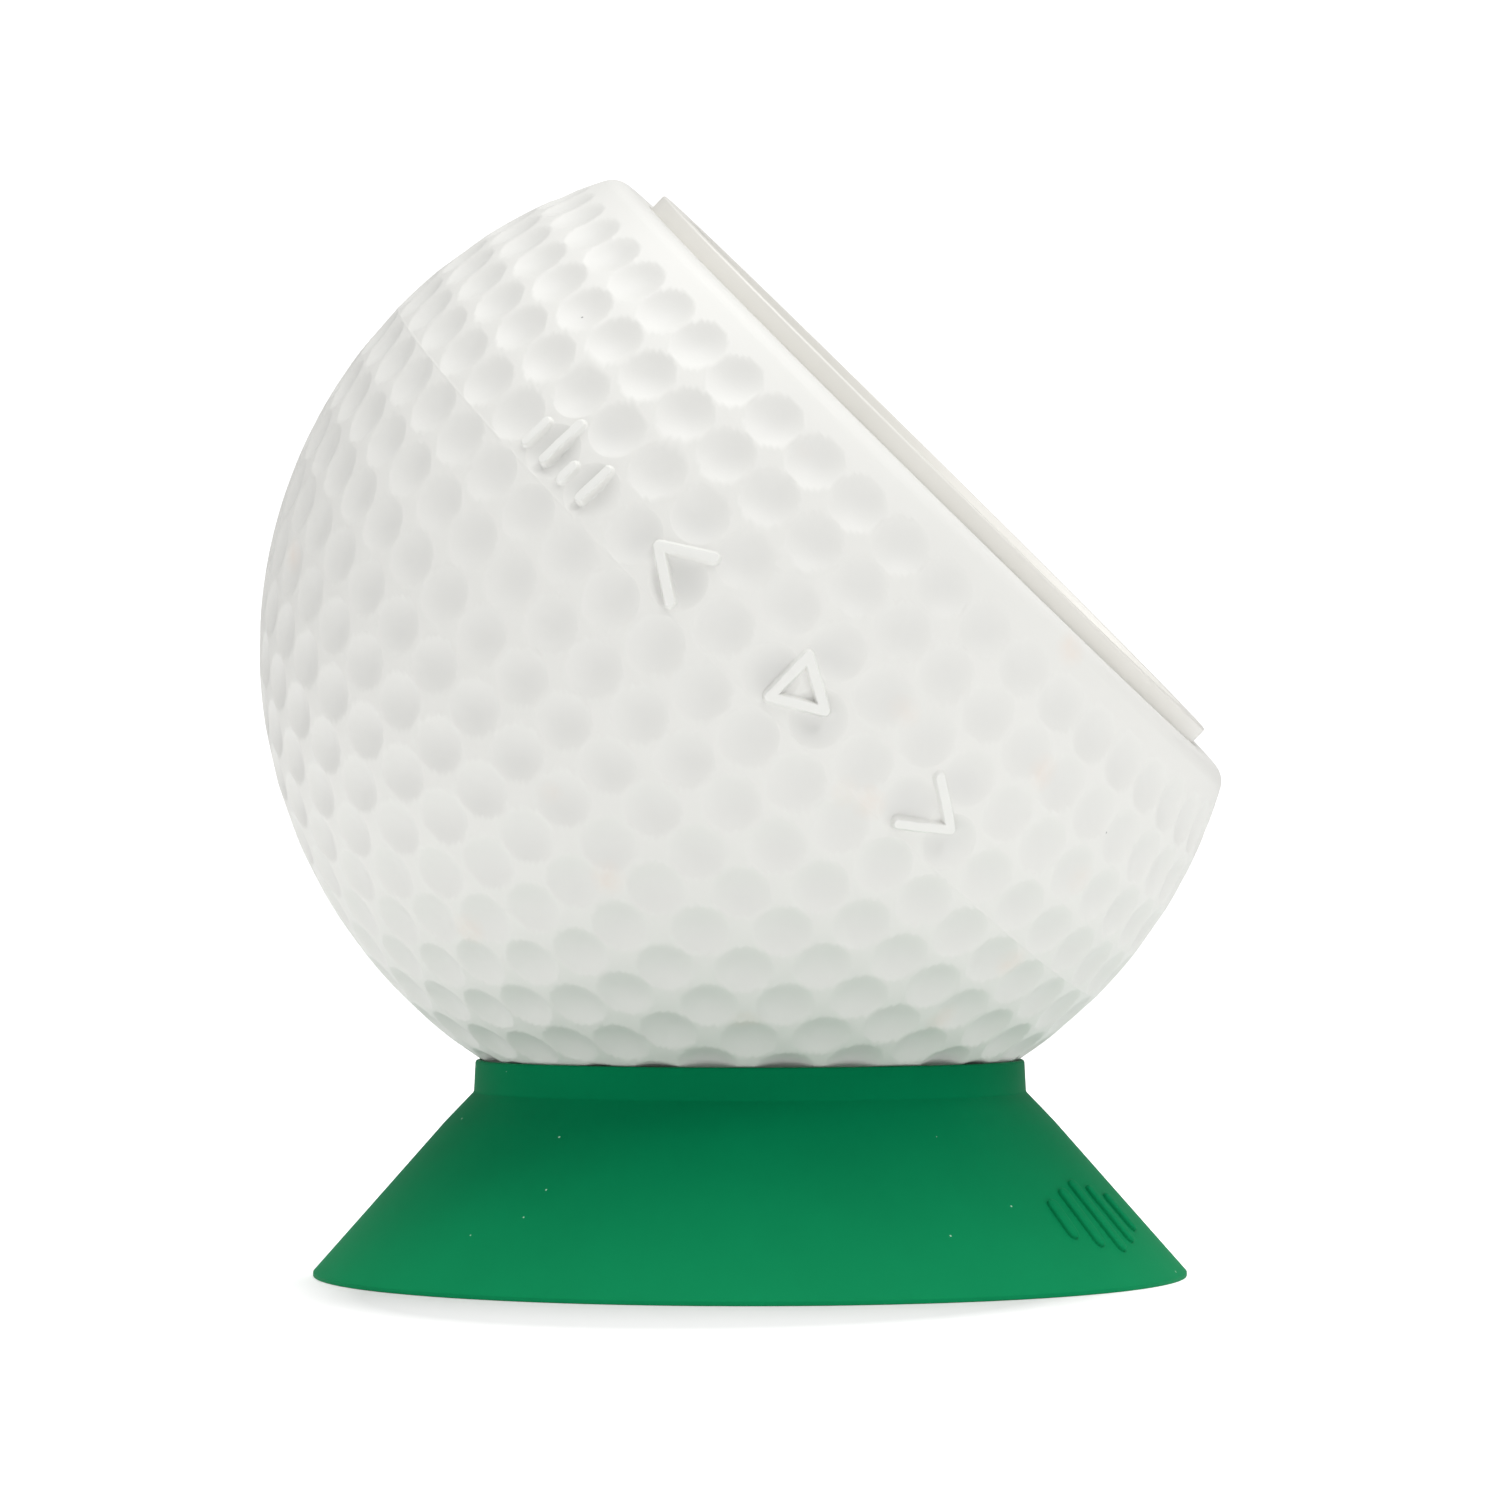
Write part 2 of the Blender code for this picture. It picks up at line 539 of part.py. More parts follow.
def build_leads(ball):
    """Leads between the driver, the cell, the port and the main board, and the keys' flat cable."""
    floor = BOARD_W + 1.6 + GAP + 0.7
    place(tube("speaker_lead", [(-19.5, 9, 6.0), (-24, 9, 0), (-25, 9, -9), (-20, 9, -19), (-14.5, 9, -25),
                                (-13.5, 9, floor)], 0.6), ball, PARTS, "black_rubber")
    place(tube("battery_lead", [(9.5, 25.6, -17), (9.5, 27.5, -20), (9.5, 24, -25.5), (9.5, 17, -28.5),
                                (9.5, 11, floor)], 0.6), ball, PARTS, "red_lead")
    place(tube("port_lead", [(-21.5, -6, -21.5), (-18, -6, -21), (-14.5, -6, -24.5), (-14, -6, floor)],
               0.6), ball, PARTS, "red_lead")
    ribbon = [(6, -35.6, -2.0), (6, -35.0, -9.0), (6, -32.4, -16.0), (6, -29.0, -22.5),
              (6, -25.0, -27.2), (6, -20.0, -29.2), (6, -11.0, -29.35)]
    place(strip("key_cable", ribbon, (1, 0, 0), 5.0, 0.3), ball, PARTS, "flex_circuit")


clear_scene()
PARTS = new_collection(OBJECT)
CUTTERS = new_collection("guides")

foot_axis = axis_empty("foot_axis", None, PARTS, (AXIS_X, 0, 0))
ball_centre = axis_empty("ball_centre", foot_axis, PARTS, (0, 0, BALL_Z), (0, FRONT_TILT, 0))
cone_centre = axis_empty("cone_axis", ball_centre, PARTS)
KEY_AXES = {name: key_axis(f"{name}_key_axis", longitude, ball_centre)
            for name, longitude in KEYS.items()}

build_foot(foot_axis)
build_skin(ball_centre)
build_housing(ball_centre)
build_front(ball_centre)
build_driver(ball_centre, cone_centre)
build_keys(ball_centre)
build_port_cover(build_power(ball_centre))
build_leads(ball_centre)
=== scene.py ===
"""Looks of the ball-shaped portable speaker, laid out as a Blender add-on and run as a script.

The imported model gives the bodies, the joints and every place. Lengths in this file are in metres and
angles in degrees. The ball has its own latitude and longitude: latitude is measured from the plane
through its centre that is parallel to the slanted front, and longitude runs round the front's axis,
from the raised back edge (0) towards the side with the keys (90).
"""

import json
import math

import bmesh
import bpy
import numpy as np
from bpy.props import FloatProperty, FloatVectorProperty, IntProperty, PointerProperty
from mathutils import Euler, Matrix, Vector


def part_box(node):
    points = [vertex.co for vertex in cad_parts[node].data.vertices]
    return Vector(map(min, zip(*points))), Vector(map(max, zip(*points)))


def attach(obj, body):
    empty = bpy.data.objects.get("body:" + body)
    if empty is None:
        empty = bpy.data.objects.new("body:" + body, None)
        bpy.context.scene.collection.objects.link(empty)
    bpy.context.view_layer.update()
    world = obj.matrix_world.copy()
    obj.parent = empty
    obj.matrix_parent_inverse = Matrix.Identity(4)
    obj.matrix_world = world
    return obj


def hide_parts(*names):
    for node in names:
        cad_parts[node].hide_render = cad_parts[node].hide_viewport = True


bl_info = {
    "name": "Ball speaker looks",
    "version": (1, 0, 0),
    "blender": (4, 5, 0),
    "location": "View3D > Sidebar > Ball speaker",
    "description": "Dimpled skin, keys, grille, suction foot and finishes of a ball-shaped speaker",
    "category": "Object",
}

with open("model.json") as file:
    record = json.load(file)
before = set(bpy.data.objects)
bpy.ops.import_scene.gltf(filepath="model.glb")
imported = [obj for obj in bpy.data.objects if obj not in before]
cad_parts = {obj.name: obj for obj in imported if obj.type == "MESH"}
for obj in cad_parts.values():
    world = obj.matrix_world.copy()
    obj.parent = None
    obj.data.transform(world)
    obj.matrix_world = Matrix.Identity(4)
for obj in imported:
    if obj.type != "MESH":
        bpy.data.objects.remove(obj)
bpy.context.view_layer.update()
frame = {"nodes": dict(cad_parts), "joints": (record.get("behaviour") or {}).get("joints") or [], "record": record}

MM = 0.001
SAME_POINT = 1e-7        # distance below which two points are one
JOINTS = {joint["name"]: joint for joint in frame["joints"]}

# the ball and its axes
CENTRE = np.array(JOINTS["ball_swivel"]["pos_m"], float)
FRONT = np.array(JOINTS["cone_travel"]["axis"], float)
FRONT /= np.linalg.norm(FRONT)
KEY_SIDE = np.array((0.0, -1.0, 0.0))
BACK_EDGE = np.cross(KEY_SIDE, FRONT)
RING_SIDE = np.cross(FRONT, BACK_EDGE)
BALL_R = round(float(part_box("ball_skin")[1][1]), 4)
SKIN_BACK = BALL_R - 2.4 * MM      # radius of the skin's inner side

# rows of dimples, from the front to the back; turns are shares of the distance between dimples
ROW_TOP = 23.1           # latitude of the first row
ROW_STEP = 6.6
ROW_COUNT = 18
EQUATOR_DIMPLES = 51     # dimples in each row near the middle of the ball
LEVEL_ROWS_END = -20     # latitude behind which the rows hold fewer
ROW_TURNS = (0.6, 0.55, 0.0, 0.5, 0.95, 0.5, 0.7, 0.5, 0.45, 0.25, 0.75, 0.1, 0.6, 0.95, 0.3, 0.8, 0.2, 0.0)
SEAM_WIDTH = 0.11 * MM   # half width of the moulding line

# the skin's grid of points, in degrees
BELT_EDGES = (30.0, 4.0, -28.0, -60.0, -90.0)
ROW_SPACING = 0.45
COLUMN_SPACING = 0.59

# openings in the skin, half widths
KEY_NAMES = ("equaliser", "back", "play", "next")
KEY_R = 5.6 * MM
KEY_BACK = BALL_R - 1.9 * MM       # radius of the keys' inner side
PAD_FINENESS = 5                   # a pad's grid lines for each of the skin's
PORT_HALF = (7.7 * MM, 4.2 * MM)
FLAP_BACK = BALL_R - 1.8 * MM
FLAP_GAP = 0.12 * MM
STUD_HOLE = 12.0 * MM
BEND_REACH = 1.5                   # how far the grid bends round an opening, in half widths

# the front: heights are along its axis from the ball's centre
LIP_W = 22.6 * MM        # top of the skin's front lip
LIP_ROUND = 2.3 * MM
LIP_IN = 35.0 * MM
LIP_FLOOR = 20.2 * MM
LIP_FLOOR_OUT = 37.3 * MM
RING_R = 34.8 * MM
RING_IN = 31.0 * MM
RING_TOP = LIP_W + 1.65 * MM
GRILLE_W = 22.1 * MM     # the grille's top at its edge
GRILLE_CROWN = 1.0 * MM
GRILLE_T = 0.7 * MM
HOLES_OUT = 29.4 * MM    # no holes farther out than this
CLOTH_R = 30.6 * MM
CLOTH_TOP = 21.5 * MM
CLOTH_UNDER = 21.25 * MM

# the foot, in millimetres: radius, height
FOOT_R = 40.0
FOOT_SLOPE = ((39.9, 0.45), (27.9, 14.1))     # the cone's edge and top
SEAT_R = BALL_R / MM + 0.06                   # the hollow that the ball sits in
MARKS_AT = -20.5         # degrees round the foot's axis, from the front towards the keys' side
MARKS_UP = 0.42          # share of the slope below the marks' middles
MARK_STEP = 5.0
MARK_LENGTHS = (4.4, 6.6, 8.2, 6.6, 4.4)
MARK_HALF_WIDTH = 0.68
MARK_RISE = 0.42

# the stage
CAMERA_TURN = 7.6        # how far the camera stands round from the keys' side towards the front
CAMERA_AWAY = 0.495
CAMERA_HEIGHT = 0.0342
CAMERA_PITCH = 1.608
CAMERA_LENS = 129.07
CAMERA_SENSOR = 36.0
FLOOR_R = 0.75
FLOOR_GLOW = 0.6
SHADE_R = 0.03           # half width of the shade before the foot, and where its soft edge ends
SHADE_END_R = 0.042
SURROUND_LIGHT = 0.41    # strength of the pale surround as a light
SURROUND_SEEN = 1.2      # and as the camera sees it
LIGHTS = (       # name, place in metres, diameter, watts
    ("top_light", (0.0, 0.0, 1.3), 1.2, 9.9),
    ("key_light", (0.75, -0.6, 1.15), 0.4, 4.6),
    ("right_light", (0.9, 0.0, 1.0), 0.4, 0.9),
    ("right_back_light", (0.8, 0.7, 0.9), 0.8, 0.8),
    ("left_light", (-1.3, -0.3, 0.4), 0.8, 1.7),
    ("low_front_light", (0.1, -1.2, 0.03), 0.5, 2.1),
)


# ---------------------------------------------------------------- settings

def length_setting(name, description, value):
    """A length's entry in the settings, in metres."""
    return FloatProperty(name=name, description=description, default=value, unit="LENGTH", precision=5)


def colour_setting(name, description, value):
    """A colour's entry in the settings."""
    return FloatVectorProperty(name=name, description=description, default=value, subtype="COLOR",
                               min=0, max=1)


class BallSpeakerSettings(bpy.types.PropertyGroup):
    """Sizes and colours that the sidebar shows"""
    dimple_width: length_setting("Dimple width", "Diameter of a dimple", 5.2 * MM)
    dimple_depth: length_setting("Dimple depth", "Depth at a dimple's middle", 0.58 * MM)
    seam_height: length_setting("Seam height", "Height of the skin's moulding line", 0.02 * MM)
    symbol_height: length_setting("Symbol height", "How far a key's symbol stands out", 0.4 * MM)
    stroke_width: length_setting("Stroke width", "Width of a symbol's lines", 1.0 * MM)
    hole_pitch: length_setting("Hole pitch", "Distance between the grille's holes", 2.0 * MM)
    hole_width: length_setting("Hole width", "Diameter of the grille's holes", 1.25 * MM)
    # painted shade: this tint greys the dimples' hollows, and also stands for the dark housing seen through the
    # thin skin
    thinness_and_shade_tint: FloatProperty(name="Thin skin's tint", default=0.1, min=0, max=1,
                             description="How far the dark housing shows through the dimples")
    skin_colour: colour_setting("Skin", "White silicone of the ball", (0.765, 0.762, 0.732))
    ring_colour: colour_setting("Ring", "Warm white plastic of ring and grille", (0.76, 0.745, 0.70))
    foot_colour: colour_setting("Foot", "Green silicone of the foot", (0.0005, 0.175, 0.066))
    # painted light: the lighter green at the foot's bottom edge stands for light from the white floor
    floor_lit_rim_colour: colour_setting("Foot's edge", "Green where the foot is thin", (0.006, 0.27, 0.1))
    cloth_columns: IntProperty(name="Cloth columns", description="Divisions round the cloth",
                               default=96, min=12)


def settings():
    """The panel's values."""
    return bpy.context.scene.ball_speaker


# ---------------------------------------------------------------- surfaces

def unit(vectors):
    """Each vector divided by its length."""
    return vectors / np.linalg.norm(vectors, axis=-1, keepdims=True)


def direction(latitude, longitude):
    """Unit vector at a latitude and longitude: cos(lat)(cos(lon) E + sin(lon) S) + sin(lat) F."""
    lat, lon = np.radians(latitude)[..., None], np.radians(longitude)[..., None]
    level = np.cos(lon) * BACK_EDGE + np.sin(lon) * KEY_SIDE
    return np.cos(lat) * level + np.sin(lat) * FRONT


def latitude_longitude(d):
    """Latitude asin(d.F) and longitude atan2(d.S, d.E) of unit vectors."""
    return (np.degrees(np.arcsin(np.clip(d @ FRONT, -1, 1))),
            np.degrees(np.arctan2(d @ KEY_SIDE, d @ BACK_EDGE)))


def smoothstep(t):
    """0 below 0, 1 above 1, and 3t^2 - 2t^3 between."""
    t = np.clip(t, 0, 1)
    return t * t * (3 - 2 * t)


def tangent_axes(out):
    """The directions along a row of dimples and towards the front at a point of the ball."""
    along = unit(np.cross(FRONT, out))
    return along, np.cross(out, along)


def row_dimples(row):
    """How many dimples a row holds: level near the middle, then in step with the circle's length."""
    latitude = ROW_TOP - ROW_STEP * row
    if latitude > LEVEL_ROWS_END:
        return EQUATOR_DIMPLES
    return max(1, round(EQUATOR_DIMPLES * math.cos(math.radians(latitude))))


ROW_SIZES = np.array([row_dimples(row) for row in range(ROW_COUNT)])
ROW_STARTS = 90 + np.array(ROW_TURNS) * 360 / ROW_SIZES


def dimple_bowls(d):
    """Share of a dimple's depth: (1 - t^2)^1.2, t the distance to the nearest dimple's middle over
    its radius, looked for in the rows above and below."""
    latitude, longitude = latitude_longitude(d)
    above = np.floor((ROW_TOP - latitude) / ROW_STEP).astype(int)
    bowls = np.zeros(len(d))
    for row in (above, above + 1):
        known = (row >= 0) & (row < ROW_COUNT)
        index = np.clip(row, 0, ROW_COUNT - 1)
        spacing = 360.0 / ROW_SIZES[index]
        start = ROW_STARTS[index]
        nearest = start + np.round((longitude - start) / spacing) * spacing
        middle = direction(ROW_TOP - ROW_STEP * index, nearest)
        reach = np.linalg.norm(d - middle, axis=1) * BALL_R / (settings().dimple_width / 2)
        bowls = np.maximum(bowls, np.where(known, np.clip(1 - reach ** 2, 0, 1) ** 1.2, 0.0))
    return bowls


def dimple_field(d):
    """Height of the skin over the sphere: the dimples' bowls, and the moulding line, a ridge
    height * exp(-(distance / width)^2) along latitude 0."""
    look = settings()
    seam = np.arcsin(np.clip(d @ FRONT, -1, 1)) * BALL_R / SEAM_WIDTH
    return look.seam_height * np.exp(-seam ** 2) - look.dimple_depth * dimple_bowls(d)


def symbol_lines(name):
    """A key's symbol as straight lines in the key's own plane, x along the row, y to the front."""
    back = [((2.0, 2.6), (-2.1, 0.0)), ((-2.1, 0.0), (2.0, -2.6))]
    play = [((-1.8, 2.35), (2.4, 0.0)), ((2.4, 0.0), (-1.8, -2.35)), ((-1.8, -2.35), (-1.8, 2.35))]
    onward = [((-2.0, 2.6), (2.1, 0.0)), ((2.1, 0.0), (-2.0, -2.6))]
    bars = [((x, -1.9), (x, top)) for x, top in ((-3.9, 0.4), (-1.3, 2.3), (1.3, -0.5), (3.9, 1.3))]
    return {"equaliser": bars, "back": back, "play": play, "next": onward}[name]


def symbol_mask(points, name):
    """1 on a symbol's lines and 0 off them: a soft step of half the width less the distance to the
    nearest line, over the line's rounded edge. Points are (x, y) in metres."""
    distance = np.full(len(points), 1.0)
    for start, end in symbol_lines(name):
        a, b = np.array(start) * MM, np.array(end) * MM
        share = np.clip(((points - a) @ (b - a)) / ((b - a) @ (b - a)), 0, 1)
        distance = np.minimum(distance, np.linalg.norm(points - a - share[:, None] * (b - a), axis=1))
    return smoothstep((settings().stroke_width / 2 - distance) / (0.28 * MM) + 0.5)


def key_field(name):
    """The dimpled height with a key's symbol laid over it at one level."""
    _, along, up = KEY_AXES[name]

    def height(d):
        points = np.stack([d @ along, d @ up], 1) * BALL_R
        mask = symbol_mask(points, name)
        return dimple_field(d) * (1 - mask) + settings().symbol_height * mask
    return height


def field_normals(d, height):
    """Normals of the surface (R + h(d)) d: d less the gradient of h over the radius, the gradient
    taken by small steps along two tangents."""
    step = 0.02 * MM / BALL_R
    helper = np.where(np.abs(d[:, :1]) > 0.9, (0.0, 1.0, 0.0), (1.0, 0.0, 0.0))
    first = unit(np.cross(d, helper))
    second = np.cross(d, first)
    level = height(d)
    slope = np.zeros_like(d)
    for tangent in (first, second):
        change = (height(unit(d + step * tangent)) - height(unit(d - step * tangent))) / (2 * step)
        slope += change[:, None] * tangent
    return unit(d - slope / (BALL_R + level)[:, None])


def grid_quads(rows, columns, wrap=True):
    """Quads of a grid whose rows run down and whose columns run to the right, faces towards us."""
    i = np.arange(rows - 1)[:, None] * columns
    j = np.arange(columns if wrap else columns - 1)[None, :]
    right = (j + 1) % columns
    return np.stack([i + j, i + columns + j, i + columns + right, i + right], -1)


def boundary(faces):
    """Directed edges that only one face uses."""
    edges = np.concatenate([np.stack([f, np.roll(f, -1, 1)], -1).reshape(-1, 2) for f in faces])
    size = edges.max() + 1
    forward, reverse = edges[:, 0] * size + edges[:, 1], edges[:, 1] * size + edges[:, 0]
    return edges[~np.isin(forward, reverse)]


def make_mesh(name, points, faces, normals=None, thin=None):
    """A mesh object from numpy arrays; faces is a list of arrays, one for each number of corners."""
    mesh = bpy.data.meshes.new(name)
    mesh.from_pydata(points, [], [f for group in faces for f in group.tolist()])
    mesh.shade_smooth()
    if normals is not None:
        mesh.normals_split_custom_set(normals)
    if thin is not None:
        mesh.attributes.new("thinness_and_shade_share", "FLOAT", "POINT").data.foreach_set("value", thin)
    piece = bpy.data.objects.new(name, mesh)
    bpy.context.scene.collection.objects.link(piece)
    return piece


def walled(faces, count):
    """Closes a sheet of faces over count points: the faces, the same ones reversed on a second set
    of points, and a quad along each open edge."""
    rim = boundary(faces)
    walls = np.stack([rim[:, 1], rim[:, 0], rim[:, 0] + count, rim[:, 1] + count], 1)
    return faces + [f[:, ::-1] + count for f in faces] + [walls]


def shell(name, outer, inner, normals, faces, thin):
    """A closed wall from the outer faces. Outer corners keep their exact normals, and each outer point its share
    of thinness and painted shade, 0 for full thickness, which the finish reads."""
    groups = walled(faces, len(outer))
    walls = groups[-1]
    points = np.concatenate([outer, inner])
    a, b, c = (points[walls[:, k]] for k in (0, 1, 2))
    wall_normals = unit(np.cross(b - a, c - a) + 1e-16)
    corner_normals = [normals[f.ravel()] for f in faces]
    corner_normals += [-normals[f[:, ::-1].ravel()] for f in faces]
    corner_normals.append(np.repeat(wall_normals, 4, 0))
    thin = np.concatenate([thin, np.zeros(len(outer))])
    return make_mesh(name, points, groups, np.concatenate(corner_normals), thin)


def rounded(corners, steps=5):
    """An outline through (r, z, fillet) corners, each corner an arc between its two tangent points."""
    outline = []
    count = len(corners)
    for i, (r, z, fillet) in enumerate(corners):
        here = np.array((r, z))
        before, after = (np.array(corners[(i + k) % count][:2]) for k in (-1, 1))
        if fillet <= 0:
            outline.append(here)
            continue
        one, two = unit(before - here), unit(after - here)
        half = math.acos(float(np.clip(one @ two, -1, 1))) / 2
        reach = fillet / math.tan(half)
        middle = here + unit(one + two) * fillet / math.sin(half)
        start = math.atan2(*(here + one * reach - middle)[::-1])
        turn = math.atan2(*(here + two * reach - middle)[::-1]) - start
        turn = (turn + math.pi) % (2 * math.pi) - math.pi
        angles = start + turn * np.linspace(0, 1, steps + 1)
        outline += [middle + fillet * np.array((math.cos(t), math.sin(t))) for t in angles]
    return np.array(outline)


def lathe(name, outline, columns, centre, axis=(0, 0, 1), across=(1, 0, 0), ends_on_axis=False):
    """A turned solid: each outline point (r, z) goes to centre + r (cos t A + sin t B) + z axis. The
    outline is a closed one, or an open one that starts and ends on the axis."""
    axis, across = np.array(axis, float), np.array(across, float)
    other = np.cross(axis, across)
    turn = np.linspace(0, 2 * math.pi, columns, endpoint=False)[None, :, None]
    circle = np.cos(turn) * across + np.sin(turn) * other
    points = centre + outline[:, 0, None, None] * circle + outline[:, 1, None, None] * axis
    rows = len(outline)
    faces = grid_quads(rows, columns)
    if not ends_on_axis:
        last = (grid_quads(2, columns) + (rows - 1) * columns) % (rows * columns)
        faces = np.concatenate([faces, last])
    piece = make_mesh(name, points.reshape(-1, 3), [faces.reshape(-1, 4)])
    finish_mesh(piece)
    return piece


def finish_mesh(piece, sharp=40.0):
    """Merge double points, point the faces outwards and mark the sharp edges."""
    work = bmesh.new()
    work.from_mesh(piece.data)
    bmesh.ops.remove_doubles(work, verts=work.verts, dist=SAME_POINT)
    bmesh.ops.recalc_face_normals(work, faces=work.faces)
    work.to_mesh(piece.data)
    work.free()
    piece.data.shade_smooth()
    piece.data.set_sharp_from_angle(angle=math.radians(sharp))


def arc(radius, start, end, count, centre=(0.0, 0.0)):
    """Outline points centre + radius (cos t, sin t), t in degrees from start to end."""
    t = np.radians(np.linspace(start, end, count + 1))
    return np.stack([centre[0] + radius * np.cos(t), centre[1] + radius * np.sin(t)], 1)


# ---------------------------------------------------------------- openings in the ball's grid

def key_axes(name):
    """A key's outward direction and its directions along the row and towards the front."""
    out = -unit(np.array(JOINTS[f"{name}_press"]["axis"], float))
    return (out, *tangent_axes(out))


KEY_AXES = {name: key_axes(name) for name in KEY_NAMES}


def opening(out, half, power):
    """An opening in the skin: its axis, half width and half height in the tangent plane, and the
    power of its outline |x|^p + |y|^p = 1, 2 for a circle and 5 for a rounded rectangle."""
    along, up = tangent_axes(out)
    latitude, longitude = (round(float(v[0]), 2) for v in latitude_longitude(out[None]))
    tall = math.degrees(math.asin(half[1] / BALL_R))
    wide = math.degrees(math.asin(half[0] / BALL_R)) / math.cos(math.radians(latitude))
    return {"out": out, "along": along, "up": up, "half": np.array(half), "power": power,
            "latitude": latitude, "longitude": longitude, "wide": wide, "tall": tall}


OPENINGS = [opening(KEY_AXES[name][0], (KEY_R, KEY_R), 2.0) for name in KEY_NAMES]
PORT = opening(np.array((-1.0, 0.0, 0.0)), PORT_HALF, 5.0)
OPENINGS += [PORT, opening(np.array((0.0, 0.0, -1.0)), (STUD_HOLE, STUD_HOLE), 2.0)]


def block_place(hole, latitude, longitude):
    """Place within an opening's block of the grid, -1 to 1 across the block."""
    turn = (longitude - hole["longitude"] + 180) % 360 - 180
    return np.stack([turn / hole["wide"], (latitude - hole["latitude"]) / hole["tall"]], -1)


def block_to_outline(place, hole, shrink=0.0):
    """Squares of the block become shapes of the opening's outline: p max|p| / |p|_power * half."""
    square = np.abs(place).max(-1, keepdims=True)
    power = hole["power"]
    length = (np.abs(place) ** power).sum(-1, keepdims=True) ** (1 / power)
    return place * square / np.maximum(length, 1e-12) * (hole["half"] - shrink)


def on_ball(flat, hole):
    """Unit vectors of points given in an opening's tangent plane."""
    flat = flat / BALL_R
    rise = np.sqrt(np.maximum(1 - (flat ** 2).sum(-1, keepdims=True), 0))
    return flat[:, :1] * hole["along"] + flat[:, 1:] * hole["up"] + rise * hole["out"]


def fitted_directions(latitude, longitude):
    """Directions of the grid's points, bent near each opening so that its block ends on its outline;
    the bend fades to nothing at one and a half times the block's size."""
    d = direction(latitude, longitude)
    for hole in OPENINGS:
        place = block_place(hole, latitude, longitude)
        size = np.abs(place).max(-1)
        near = size < BEND_REACH
        fade = 1 - smoothstep((size[near] - 1) / (BEND_REACH - 1))[:, None]
        plain = np.stack([d[near] @ hole["along"], d[near] @ hole["up"]], 1) * BALL_R
        d[near] = on_ball(plain * (1 - fade) + block_to_outline(place[near], hole) * fade, hole)
    return d


def stops(low, high, marks, step):
    """Values from low to high that hit every mark, with even steps of about the given size between."""
    between = sorted({round(m, 6) for m in marks if low + 1e-6 < m < high - 1e-6})
    knots = [low, *between, high]
    pieces = [np.linspace(a, b, max(1, round((b - a) / step)), endpoint=False)
              for a, b in zip(knots, knots[1:])]
    return np.concatenate([*pieces, [high]])


def skin_longitudes(step):
    """Longitudes of the skin's columns of points, once round."""
    marks = [(h["longitude"] + side * h["wide"]) % 360 for h in OPENINGS for side in (-1, 1)]
    return stops(marks[0], marks[0] + 360, [m + 360 * (m < marks[0]) for m in marks[1:]], step)[:-1]


def skin_latitudes(step):
    """Latitudes of the skin's rows of points from the lip down to the pole, closer at the seam."""
    marks = [h["latitude"] + side * h["tall"] for h in OPENINGS for side in (-1, 1)]
    marks += [0.0, *BELT_EDGES[1:-1], *(side * v for side in (-1, 1) for v in (0.09, 0.2, 0.35))]
    return stops(-90.0, lip_outline()[1], marks, step)[::-1]


def in_opening(latitude, longitude):
    """Whether places lie inside an opening's block."""
    inside = np.zeros(latitude.shape, bool)
    for hole in OPENINGS:
        inside |= np.abs(block_place(hole, latitude, longitude)).max(-1) < 1
    return inside


def lip_outline():
    """The lip from its inner wall over the flat top to the fillet that meets the sphere."""
    centre_r = math.sqrt((BALL_R - LIP_ROUND) ** 2 - (LIP_W - LIP_ROUND) ** 2)
    start = math.degrees(math.atan2(LIP_W - LIP_ROUND, centre_r))
    fillet = arc(LIP_ROUND, 90, start, 12, (centre_r, LIP_W - LIP_ROUND))
    corner = arc(0.35 * MM, 180, 90, 4, (LIP_IN + 0.35 * MM, LIP_W - 0.35 * MM))
    wall = np.array([(LIP_IN, LIP_FLOOR + 0.1 * MM), (LIP_IN, LIP_W - 1.2 * MM)])
    return np.concatenate([wall, corner, fillet[:-1]]), start


def outline_normals(outline):
    """Normals of an open outline: its direction by central differences, turned a quarter left."""
    run = unit(np.gradient(outline, axis=0))
    return np.stack([-run[:, 1], run[:, 0]], 1)


def turned_outline(outline, longitudes):
    """Each outline point (r, w) at each longitude: r (cos t E + sin t S) + w F."""
    circle = direction(np.zeros(len(longitudes)), longitudes)
    return (outline[:, 0, None, None] * circle + outline[:, 1, None, None] * FRONT).reshape(-1, 3)


